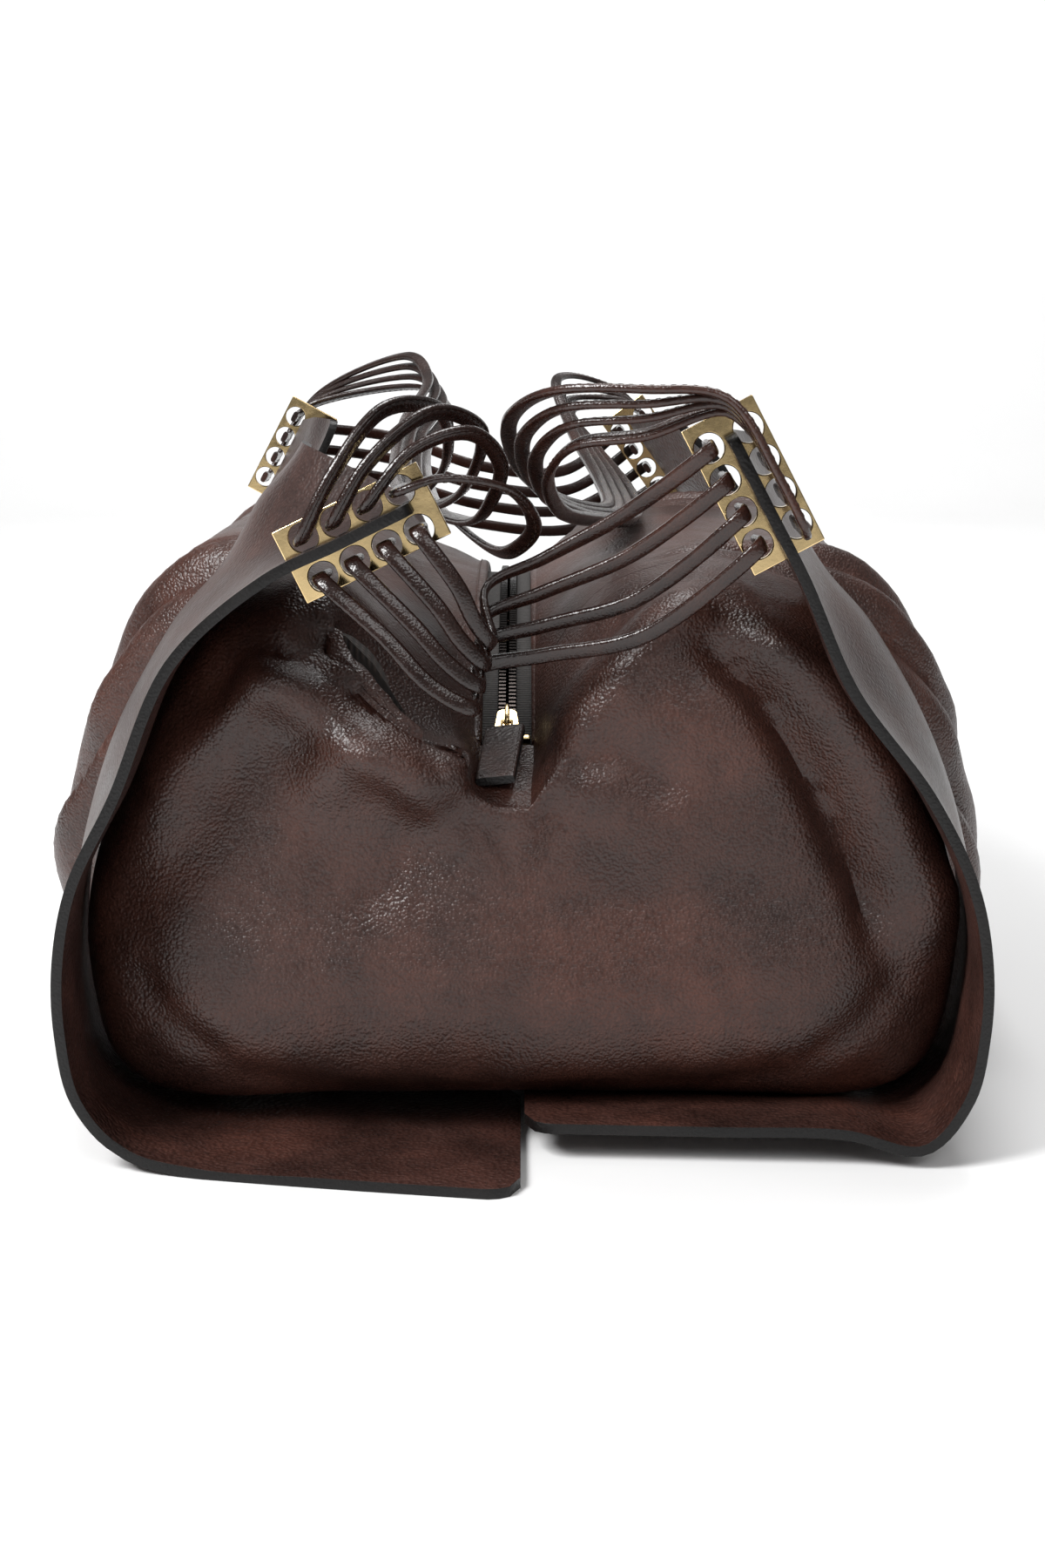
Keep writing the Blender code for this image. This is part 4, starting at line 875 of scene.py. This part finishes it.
def build_band(side, end, spec):
    edge, back = band_profiles(spec)
    total = path_length(edge)
    slit = (SLIT_FROM_EDGE, SLIT_FROM_EDGE + SLIT_WIDTH)
    depths = FRONT_DEPTHS + list(slit)
    inside = BAND_WIDTH - slit[1]
    depths += [slit[1] + inside * k / 22 for k in range(1, 21)]
    depths += [BAND_WIDTH - d for d in (0.0030, 0.0014, 0.0005, 0.0)]
    travelled = band_distances(total)
    rows = []
    for r, distance in enumerate(travelled):
        tip_cut = corner_cut(distance, TIP_CORNER_RADIUS)
        flap_cut = corner_cut(travelled[-1] - distance, FLAP_CORNER_RADIUS[side, end])
        back_cut = max(tip_cut, corner_cut(travelled[-1] - distance, 0.006))
        line = []
        for depth in depths:
            depth = min(max(depth, tip_cut, flap_cut), BAND_WIDTH - back_cut)
            share = smoothstep((depth - FLARE_START) / (BAND_WIDTH - FLARE_START))
            p = edge[r].lerp(back[r], share)
            line.append((p, depth, share, distance))
        rows.append(line)
    middle = [[None] * len(depths) for _ in rows]
    for r, line in enumerate(rows):
        for c, (p, depth, share, distance) in enumerate(line):
            y = ENDS[end] * (BAND_END_Y - depth + flap_swing(p, spec[-1]))
            middle[r][c] = Vector((SIDES[side] * p.x, y, p.z))
    outer, inner = [], []
    for r, line in enumerate(rows):
        outs, ins = [], []
        for c, (p, depth, share, distance) in enumerate(line):
            up = edge[max(r - 1, 0)].lerp(back[max(r - 1, 0)], share)
            low = min(r + 1, len(rows) - 1)
            down = edge[low].lerp(back[low], share)
            along = down - up
            out = Vector((-along.z * SIDES[side], 0.0, along.x)).normalized()
            m = middle[r][c]
            wave = 0.0
            if p.z > 0.02:
                q = Vector((m.x, m.y, m.z)) * 24.0 + Vector((0.0, 0.0, 5.0 * SIDES[side]))
                fade = smoothstep((distance - 0.030) / 0.030)
                wave = 0.0011 * noise.noise(q) * fade * smoothstep(depth / 0.02)
            curl = smoothstep((depth - 0.060) / 0.028) * smoothstep((0.028 - distance) / 0.028)
            m = m + out * (wave - 0.006 * curl)
            face_out, face_in = m + out * BAND_THICKNESS / 2, m - out * INNER_FACE
            face_out.z, face_in.z = max(face_out.z, 0.0), max(face_in.z, 0.0)
            outs.append(face_out)
            ins.append(face_in)
        outer.append(outs)
        inner.append(ins)
    columns = len(depths)
    verts = [p for grid in (outer, inner) for row in grid for p in row]
    under = len(rows) * columns
    slit_column = len(FRONT_DEPTHS)
    faces, slots, edges = [], [], {}
    for r in range(len(rows) - 1):
        for c in range(columns - 1):
            if c == slit_column and r < TIP_ROWS:
                continue
            loop = [r * columns + c, r * columns + c + 1, (r + 1) * columns + c + 1,
                    (r + 1) * columns + c]
            if len({tuple(round(x, 6) for x in verts[i]) for i in loop}) < 3:
                continue
            faces += [loop, [i + under for i in reversed(loop)]]
            slots += [0, 1]
            for a, b in zip(loop, loop[1:] + loop[:1]):
                key = tuple(sorted((tuple(round(x, 6) for x in verts[a]),
                                    tuple(round(x, 6) for x in verts[b]))))
                edges.setdefault(key, []).append((a, b))
    for uses in edges.values():
        a, b = uses[0]
        if len(uses) == 1 and (verts[a] - verts[b]).length > 1e-6:
            faces.append([b, a, a + under, b + under])
            slots.append(2)
    band = new_object(f"strap_band_{end}_{side}", verts, faces, [STRAP, STRAP_INNER, EDGE_PAINT],
                      slots)
    rounding = band.modifiers.new("rounded edges", "BEVEL")
    rounding.width = 0.0009
    rounding.segments = 3
    rounding.limit_method = "ANGLE"
    rounding.angle_limit = math.radians(55)
    rounding.material = 2
    finish_piece(band, "bag", "band_leather", f"band_{end}_{side}")


for (band_side, band_end), band_spec in BANDS.items():
    build_band(band_side, band_end, band_spec)


# ------------------------------------------------------------------ plates
HOLE_SIDES = 36
PLATE_BEVEL, HOLE_BEVEL = 0.00035, 0.00030


def build_plate(side, end):
    """A flat plate with bevelled edges and two rows of round holes."""
    middle, down, out = plate_frame(side, end)
    half_x, half_z, half_y = PLATE_LENGTH / 2, PLATE_WIDTH / 2, PLATE_THICKNESS / 2
    cuts_x = [-half_x] + [(k - 1) * HOLE_PITCH for k in range(HOLES_PER_ROW - 1)] + [half_x]
    cuts_z = [-half_z, 0.0, half_z]
    verts, faces = [], []

    def add(x, z, depth):
        verts.append(middle + down * x + out * z + Vector((0.0, depth, 0.0)))
        return len(verts) - 1

    for i, (x0, x1) in enumerate(zip(cuts_x, cuts_x[1:])):
        for j, (z0, z1) in enumerate(zip(cuts_z, cuts_z[1:])):
            cx = (i - (HOLES_PER_ROW - 1) / 2) * HOLE_PITCH
            cz = (-1, 1)[j] * HOLE_ROW_OFFSET
            corners = [(x1, z1), (x0, z1), (x0, z0), (x1, z0)]
            turn = [math.tau * (k + 0.5) / HOLE_SIDES for k in range(HOLE_SIDES)]
            layers = []
            for depth in (-half_y, half_y):
                square = [add(x, z, depth) for x, z in corners]
                ring = [add(cx + HOLE_DIAMETER / 2 * math.cos(t),
                            cz + HOLE_DIAMETER / 2 * math.sin(t), depth) for t in turn]
                layers.append((square, ring))
            quarter = HOLE_SIDES // 4
            for square, hole in layers:
                for q in range(4):
                    arc = [hole[(q * quarter + k) % HOLE_SIDES] for k in range(quarter)]
                    faces += [[square[q], a, b] for a, b in zip(arc, arc[1:])]
                    faces.append([square[q], arc[-1], hole[((q + 1) * quarter) % HOLE_SIDES],
                                  square[(q + 1) % 4]])
            (front_square, front_hole), (back_square, back_hole) = layers
            for k in range(HOLE_SIDES):
                n = (k + 1) % HOLE_SIDES
                faces.append([front_hole[k], front_hole[n], back_hole[n], back_hole[k]])
            for is_outside, q in [(j == 1, 0), (i == 0, 1), (j == 0, 2),
                                  (i == HOLES_PER_ROW - 1, 3)]:
                if is_outside:
                    n = (q + 1) % 4
                    faces.append([front_square[q], front_square[n], back_square[n], back_square[q]])
    plate = new_object(f"gold_plate_{end}_{side}", verts, faces, [GOLD], smooth=True)
    plate.data.set_sharp_from_angle(angle=math.radians(28))
    bevel = plate.modifiers.new("edge bevel", "BEVEL")
    bevel.width = PLATE_BEVEL
    bevel.segments = 3
    bevel.limit_method = "ANGLE"
    bevel.angle_limit = math.radians(55)
    bevel.harden_normals = True
    finish_piece(plate, "bag", "gold_metal", f"plate_{end}_{side}")


for plate_end in ENDS:
    for plate_side in SIDES:
        build_plate(plate_side, plate_end)


# ------------------------------------------------------------------ zip
REACH = arc_angle(ZIP_END_Y - 0.001)
TEETH_REACH = REACH - 0.012
TAPE_TOP, TAPE_THICKNESS, TEETH_TOP = -0.0031, 0.0007, -0.0006
TOOTH_PITCH, TOOTH_LENGTH = 0.0022, 0.0012


def arc_mesh(name, profile, start, stop, pieces, materials):
    """A bar with the given section (x, height) that follows the zip's arc."""
    size = len(profile)
    verts = [arc_point(x, start + (stop - start) * i / pieces, h)
             for i in range(pieces + 1) for x, h in profile]
    faces = [list(range(size)), [size * pieces + k for k in range(size)][::-1]]
    for i in range(pieces):
        for k in range(size):
            a, b = size * i + k, size * i + (k + 1) % size
            faces.append([a, b, b + size, a + size])
    return new_object(name, verts, faces, materials, sharp_deg=40)


def add_block(verts, faces, x_range, h_range, angle, half_angle, inset=0.22):
    """One small block on the zip's arc with its top narrowed, added to a mesh's lists."""
    base = len(verts)
    x0, x1 = x_range
    mid_x, mid_a = (x0 + x1) / 2, angle
    for h, keep in ((h_range[0], 1.0), (h_range[0] * 0.3 + h_range[1] * 0.7, 1.0),
                    (h_range[1], 1.0 - inset)):
        for sx, sa in ((-1, -1), (1, -1), (1, 1), (-1, 1)):
            verts.append(arc_point(mid_x + sx * (x1 - x0) / 2 * keep,
                                   mid_a + sa * half_angle * keep, h))
    for level in (0, 4):
        for k in range(4):
            a, b = base + level + k, base + level + (k + 1) % 4
            faces.append([a, b, b + 4, a + 4])
    faces += [[base + 3, base + 2, base + 1, base], [base + 8, base + 9, base + 10, base + 11]]


for side, sign in SIDES.items():
    tape = arc_mesh(f"ribbed_tape_{side}", [(sign * x, h) for x, h in (
        (0.0026, TAPE_TOP - TAPE_THICKNESS), (0.0145, TAPE_TOP - TAPE_THICKNESS),
        (0.0145, TAPE_TOP), (0.0110, TAPE_TOP + 0.0001), (0.0036, TAPE_TOP), (0.0026, TAPE_TOP))],
        -REACH, REACH, 90, [TAPE])
    finish_piece(tape, "bag", "zip_tape", f"zip_tape_{side}")
    verts, faces = [], []
    count = int(2 * TEETH_REACH * ZIP_ARC_RADIUS / TOOTH_PITCH)
    for i in range(count):
        angle = -TEETH_REACH + (i + (0.25 if sign > 0 else 0.75)) * TOOTH_PITCH / ZIP_ARC_RADIUS
        x_range = sorted((sign * 0.0002, sign * 0.0031))
        add_block(verts, faces, x_range, (TAPE_TOP + 0.0002, TEETH_TOP), angle,
                  TOOTH_LENGTH / 2 / ZIP_ARC_RADIUS)
    teeth = new_object(f"metal_teeth_{side}", verts, faces, [GUNMETAL], smooth=False)
    finish_piece(teeth, "bag", "zip_teeth", f"zip_teeth_{side}")
    for end, way in ENDS.items():
        verts, faces = [], []
        stop = way * (TEETH_REACH + 0.00475)
        add_block(verts, faces, sorted((sign * 0.0024, sign * 0.0076)),
                  (TAPE_TOP + 0.0002, TEETH_TOP + 0.0007), stop, 0.00325, 0.15)
        clip = new_object(f"gold_stop_{end}_{side}", verts, faces, [GOLD], smooth=False)
        rounding = clip.modifiers.new("rounded", "BEVEL")
        rounding.width, rounding.segments = 0.00025, 2
        finish_piece(clip, "bag", "gold_metal", f"zip_stop_{end}_{side}")


def welt_profile(sign):
    """A rolled leather edge beside the zip's opening."""
    return [(sign * (0.0102 + 0.0023 * math.cos(t)), -0.0002 + 0.0019 * math.sin(t))
            for t in [math.tau * k / 14 for k in range(14)]]


def stitches(name, place, total, pitch, length, body, slot, wide=0.00030, high=0.00042):
    """A row of raised stitches; place(distance) gives a point, its direction and its outward."""
    verts, faces = [], []
    distance = pitch
    while distance < total - pitch:
        p, along, up = place(distance)
        across = along.cross(up).normalized()
        base = len(verts)
        for a, w, h in ((-1, 0, -0.6), (-0.62, -1, 0.1), (-0.62, 1, 0.1), (-0.5, 0, 1.0),
                        (0.5, 0, 1.0), (0.62, -1, 0.1), (0.62, 1, 0.1), (1, 0, -0.6)):
            verts.append(p + along * a * length / 2 + across * w * wide + up * h * high)
        for face in ((0, 3, 1), (0, 2, 3), (1, 3, 4, 5), (2, 6, 4, 3), (5, 4, 7), (6, 7, 4),
                     (0, 1, 5, 7), (0, 7, 6, 2)):
            faces.append([base + i for i in face])
        distance += pitch
    row = new_object(name, verts, faces, [THREAD], sharp_deg=60)
    finish_piece(row, body, slot)
    return row


WELT_REACH = REACH + 0.004
for side, sign in SIDES.items():
    welt = arc_mesh(f"opening_welt_{side}", welt_profile(sign), -WELT_REACH, WELT_REACH, 110, [SKIN])
    finish_piece(welt, "bag", "body_leather")

    def on_welt(distance, sign=sign):
        angle = -WELT_REACH + distance / ZIP_ARC_RADIUS
        p = arc_point(sign * 0.0109, angle, 0.0016)
        return p, Vector((0, math.cos(angle), -math.sin(angle))), \
            Vector((sign * 0.3, math.sin(angle), math.cos(angle))).normalized()

    stitches(f"welt_stitches_{side}", on_welt, 2 * WELT_REACH * ZIP_ARC_RADIUS, 0.0036, 0.0026,
             "bag", "lace_leather")


# ------------------------------------------------------------------ slider and pull
def arc_frame(y):
    """Point on the arc, the direction along it and the direction away from it."""
    angle = arc_angle(y)
    return arc_point(0.0, angle, 0.0), Vector((0, math.cos(angle), -math.sin(angle))), \
        Vector((0, math.sin(angle), math.cos(angle)))


def slider_outline(front, back, half_front, half_back, count=10):
    """The slider's plate from above: a shield that is wider at its front."""
    points = []
    for k in range(count + 1):
        t = math.pi * k / count
        points.append((half_front * math.cos(t), front + 0.0022 * (1 - math.sin(t))))
    for k in range(count + 1):
        t = math.pi * k / count
        points.append((-half_back * math.cos(t), back - 0.0022 * (1 - math.sin(t))))
    return points


def plate_from_outline(name, outline, low, high, origin, along, up, mats, bevel=0.0004):
    across = Vector((1, 0, 0))
    verts = [origin + across * x + along * y + up * h for h in (low, high) for x, y in outline]
    size = len(outline)
    faces = [list(range(size))[::-1], [size + k for k in range(size)]]
    faces += [[k, (k + 1) % size, size + (k + 1) % size, size + k] for k in range(size)]
    thing = new_object(name, verts, faces, mats, sharp_deg=30)
    rounding = thing.modifiers.new("bevel", "BEVEL")
    rounding.width, rounding.segments = bevel, 3
    rounding.limit_method, rounding.angle_limit = "ANGLE", math.radians(40)
    rounding.harden_normals = True
    return thing


origin, along, up = arc_frame(SLIDER_REST_Y)
TOP_LOW = TEETH_TOP + 0.0003
top_plate = plate_from_outline("slider_top", slider_outline(-0.0056, 0.0065, 0.0042, 0.0034),
                               TOP_LOW, TOP_LOW + 0.0013, origin, along, up, [GOLD])
finish_piece(top_plate, "slider", "gold_metal", "zip_slider")
bottom = TAPE_TOP - TAPE_THICKNESS - 0.0003
under_plate = plate_from_outline("slider_underside", slider_outline(-0.0052, 0.0060, 0.0038, 0.0030),
                                 bottom - 0.0010, bottom, origin, along, up, [GOLD], 0.0003)
finish_piece(under_plate, "slider", "gold_metal")
post = plate_from_outline("slider_post", [(-0.0003, -0.002), (0.0003, -0.002), (0.0003, 0.002),
                                          (-0.0003, 0.002)],
                          bottom - 0.0003, TOP_LOW + 0.0003, origin, along, up, [GOLD], 0.0001)
finish_piece(post, "slider", "gold_metal")


def tube(name, points, radius, material, sides=10):
    """A round bar through the given points with flat ends."""
    verts, faces = [], []
    for k, p in enumerate(points):
        t = (points[min(k + 1, len(points) - 1)] - points[max(k - 1, 0)]).normalized()
        side_axis = Vector((1, 0, 0)) if abs(t.x) < 0.8 else Vector((0, 0, 1))
        u = t.cross(side_axis).normalized()
        v = t.cross(u)
        verts += [p + u * radius * math.cos(a) + v * radius * math.sin(a)
                  for a in [math.tau * i / sides for i in range(sides)]]
    for k in range(len(points) - 1):
        for i in range(sides):
            a, b = k * sides + i, k * sides + (i + 1) % sides
            faces.append([a, b, b + sides, a + sides])
    faces += [list(range(sides))[::-1], [(len(points) - 1) * sides + i for i in range(sides)]]
    return new_object(name, verts, faces, [material], sharp_deg=40)


bridge_path = smooth_path([origin + along * a + up * (TOP_LOW + h) for a, h in (
    (-0.0046, 0.0006), (-0.0045, 0.0028), (-0.0034, 0.0046), (0.0, 0.0049), (0.0034, 0.0046),
    (0.0045, 0.0028), (0.0046, 0.0006))], 26)
bridge = tube("slider_bridge", bridge_path, 0.00085, GOLD)
finish_piece(bridge, "slider", "gold_metal")

PIVOT_HEIGHT, LINK_DROOP_DEG = 0.0030, -9.5
pivot_angle = arc_angle(SLIDER_REST_Y) - 0.0028 / ZIP_ARC_RADIUS
pivot = arc_point(0.0, pivot_angle, TOP_LOW + PIVOT_HEIGHT)
tilt = Matrix.Rotation(math.radians(LINK_DROOP_DEG) - arc_angle(SLIDER_REST_Y), 3, "X")
LINK_HALF_WIDTH, LINK_THICKNESS, LINK_END = 0.0020, 0.0011, -0.0125
TAB_START, TAB_END, TAB_HALF_WIDTH, TAB_THICKNESS = -0.0048, -0.0385, 0.0064, 0.0034


def pull_point(x, y, z):
    return pivot + tilt @ Vector((x, y, z))


# The tab hangs a little to the left, its right edge raised.
TAB_LEAN = Matrix.Rotation(math.radians(-5.0), 3, "Z") @ Matrix.Rotation(math.radians(-9.0), 3, "Y")


def tab_point(x, y, z):
    return pivot + tilt @ TAB_LEAN @ Vector((x, y, z))


def framed_plate(name, outer, holes, half_thickness, material):
    """A plate in the pull's own plane with rectangular holes side by side along Y."""
    x0, x1, y0, y1 = outer
    verts, faces = [], []
    ys = sorted({y0, y1, *[y for hole in holes for y in hole[2:]]})
    xs = sorted({x0, x1, *[x for hole in holes for x in hole[:2]]})

    def inside_hole(x, y):
        return any(h[0] < x < h[1] and h[2] < y < h[3] for h in holes)

    index = {}
    for z in (-half_thickness, half_thickness):
        for x in xs:
            for y in ys:
                index[x, y, z] = len(verts)
                verts.append(pull_point(x, y, z))
    cells = {}
    for i, (xa, xb) in enumerate(zip(xs, xs[1:])):
        for j, (ya, yb) in enumerate(zip(ys, ys[1:])):
            cells[i, j] = not inside_hole((xa + xb) / 2, (ya + yb) / 2)
    for (i, j), solid in cells.items():
        if not solid:
            continue
        xa, xb, ya, yb = xs[i], xs[i + 1], ys[j], ys[j + 1]
        for z, turn in ((-half_thickness, -1), (half_thickness, 1)):
            loop = [index[xa, ya, z], index[xb, ya, z], index[xb, yb, z], index[xa, yb, z]]
            faces.append(loop[::turn])
        for (di, dj), (pa, pb) in (((-1, 0), ((xa, ya), (xa, yb))), ((1, 0), ((xb, ya), (xb, yb))),
                                   ((0, -1), ((xa, ya), (xb, ya))), ((0, 1), ((xa, yb), (xb, yb)))):
            if not cells.get((i + di, j + dj), False):
                faces.append([index[(*pa, -half_thickness)], index[(*pb, -half_thickness)],
                              index[(*pb, half_thickness)], index[(*pa, half_thickness)]])
    thing = new_object(name, verts, faces, [material], sharp_deg=30)
    rounding = thing.modifiers.new("bevel", "BEVEL")
    rounding.width, rounding.segments = 0.00028, 3
    rounding.limit_method, rounding.angle_limit = "ANGLE", math.radians(50)
    return thing


link = framed_plate("gold_link", (-LINK_HALF_WIDTH, LINK_HALF_WIDTH, LINK_END, 0.0008),
                    [(-0.0013, 0.0013, -0.0040, -0.0006)],
                    LINK_THICKNESS / 2, GOLD)
finish_piece(link, "pull", "gold_metal", "pull_link")


def tab_half_width(y):
    """The tab's outline: square shoulders, slightly narrower towards its tip."""
    share = (y - TAB_START) / (TAB_END - TAB_START)
    return TAB_HALF_WIDTH * (1.0 - 0.03 * share)


def build_tab():
    """Two leather layers folded round the link's tail, with a seam between them."""
    half = TAB_THICKNESS / 2
    profile = [(1.0, 0.10), (0.985, 0.55), (0.93, 0.88), (0.84, 1.0), (0.5, 1.04), (0.0, 1.06),
               (-0.5, 1.04), (-0.84, 1.0), (-0.93, 0.88), (-0.985, 0.55), (-1.0, 0.10),
               (-0.985, 0.0), (-1.0, -0.10), (-0.985, -0.55), (-0.93, -0.88), (-0.84, -1.0),
               (-0.5, -1.02), (0.0, -1.03), (0.5, -1.02), (0.84, -1.0), (0.93, -0.88),
               (0.985, -0.55), (1.0, -0.10), (0.985, 0.0)]
    rows = [TAB_START, TAB_START - 0.0004, TAB_START - 0.0012]
    rows += [TAB_START + (TAB_END - TAB_START) * (0.05 + 0.9 * k / 24) for k in range(25)]
    rows += [TAB_END + 0.0010, TAB_END + 0.0003, TAB_END]
    verts, faces, slots = [], [], []
    for k, y in enumerate(rows):
        edge = min(abs(y - TAB_START), abs(y - TAB_END))
        puff = 0.84 + 0.16 * smoothstep(edge / 0.0014)
        width = tab_half_width(y) * (0.97 + 0.03 * smoothstep(edge / 0.0014))
        dimple = 1.0 - 0.06 * math.exp(-((y - TAB_START + 0.0062) / 0.0022) ** 2)
        for x, z in profile:
            crown = puff * (dimple if abs(x) < 0.7 else 1.0)
            verts.append(tab_point(x * width, y, z * half * crown / 1.06))
    size = len(profile)
    for k in range(len(rows) - 1):
        for i in range(size):
            a, b = k * size + i, k * size + (i + 1) % size
            faces.append([a, b, b + size, a + size])
            slots.append(1 if i in (0, 9, 10, 11, 12, 21, 22, 23) else 0)
    faces += [list(range(size))[::-1], [(len(rows) - 1) * size + i for i in range(size)]]
    slots += [1, 1]
    tab = new_object("leather_tab", verts, faces, [STRAP, EDGE_PAINT], slots, sharp_deg=50)
    finish_piece(tab, "pull", "body_leather", "pull_tab")


build_tab()
TAB_SEAM_FROM_EDGE = 0.0012
for face_name, face in (("top", 1), ("bottom", -1)):
    inset = TAB_HALF_WIDTH - TAB_SEAM_FROM_EDGE
    corners = [(-inset, TAB_START - 0.0012), (-inset, TAB_END + 0.0012), (inset, TAB_END + 0.0012),
               (inset, TAB_START - 0.0012)]
    line = []
    for a, b in zip(corners, corners[1:]):
        steps = max(2, round(math.dist(a, b) / 0.0005))
        line += [Vector((a[0] + (b[0] - a[0]) * k / steps, a[1] + (b[1] - a[1]) * k / steps, 0.0))
                 for k in range(steps)]
    line.append(Vector((*corners[-1], 0.0)))

    def on_tab(distance, line=line, face=face):
        p, q = sampled(line, [distance, distance + 0.0002])
        step = q - p if (q - p).length > 1e-9 else Vector((0, 1, 0))
        along = (tilt @ TAB_LEAN @ step).normalized()
        lift = Vector((0, 0, face * TAB_THICKNESS / 2 * 0.93))
        return tab_point(*(p + lift)), along, tilt @ TAB_LEAN @ Vector((0, 0, face))

    stitches(f"tab_stitches_{face_name}", on_tab, path_length(line), 0.0027, 0.0019, "pull",
             "lace_leather", 0.00022, 0.00030)


# ------------------------------------------------------------------ lining
def lining_sheet():
    """The lining: the body's sections drawn inwards, open along the zip."""
    stations = [y for y in body_stations() if abs(y) < 0.170][::4]
    outer = []
    for y in stations:
        row = section(y)[5:-5:3]
        outer.append([Vector((p.x * 0.968, p.y * 0.968, CENTRE_Z + (p.z - CENTRE_Z) * 0.875))
                      for p in row])
    near, far = outer[0], outer[-1]
    caps = [[[Vector((p.x * share, way * y, CENTRE_Z + (p.z - CENTRE_Z) * share)) for p in row]
             for share, y in ((0.60, 0.1672), (0.25, 0.1712), (0.004, 0.1726))]
            for way, row in ((-1, near), (1, far))]
    grid = caps[0][::-1] + outer + caps[1]
    shell("woven_lining", grid, grid_normals(grid), 0.0010, [LINING], "bag", "lining_fabric",
          ["lining"])


lining_sheet()


# ------------------------------------------------------------------ floor and light
def backdrop():
    """A pale floor that curves up behind the bag."""
    profile = [(-3.0, 0.0), (2.0, 0.0)]
    profile += [(2.0 + 1.0 * math.sin(t), 1.0 - 1.0 * math.cos(t))
                for t in [math.pi / 2 * k / 16 for k in range(1, 17)]]
    verts = [Vector((x, y, z)) for y, z in profile for x in (-4.0, 4.0)]
    faces = [[2 * k, 2 * k + 1, 2 * k + 3, 2 * k + 2] for k in range(len(profile) - 1)]
    mat, tree, shader, place = start_material("floor_paint", (0.90, 0.90, 0.90), 0.62)
    mottle = node(tree, "ShaderNodeTexNoise", {"Vector": place, "Scale": 3.0,
                                               "Detail": 3.0}).outputs["Fac"]
    tree.links.new(ramp(tree, mottle, [(0.3, (0.76, 0.76, 0.76)), (0.7, (0.78, 0.78, 0.78))]),
                   shader.inputs["Base Color"])
    floor = new_object("studio_floor", verts, faces, [mat])


backdrop()


def area_light(name, place, target, size, power, colour=(1.0, 1.0, 1.0)):
    light = bpy.data.lights.new(name, "AREA")
    light.shape = "RECTANGLE"
    light.size, light.size_y = size
    light.energy = power
    light.color = colour
    lamp = bpy.data.objects.new(name, light)
    bpy.context.scene.collection.objects.link(lamp)
    lamp.location = place
    aim = Vector(target) - Vector(place)
    lamp.rotation_euler = aim.to_track_quat("-Z", "Y").to_euler()


bpy.context.scene.view_settings.view_transform = "Standard"
area_light("key", (-1.05, -0.85, 1.35), (0.0, -0.1, 0.08), (0.7, 0.7), 46.0)
area_light("fill", (0.7, -1.5, 1.25), (0.0, 0.0, 0.1), (1.5, 0.6), 11.0)
area_light("top", (0.1, 0.30, 1.6), (0.0, -0.05, 0.0), (0.7, 0.7), 16.0)
area_light("backdrop", (0.0, 1.3, 2.2), (0.0, 3.0, 0.5), (3.0, 0.8), 60.0)
world = bpy.data.worlds.new("studio")
bpy.context.scene.world = world
world.use_nodes = True
background = world.node_tree.nodes["Background"]
background.inputs["Color"].default_value = (1.0, 1.0, 1.0, 1.0)
background.inputs["Strength"].default_value = 0.20
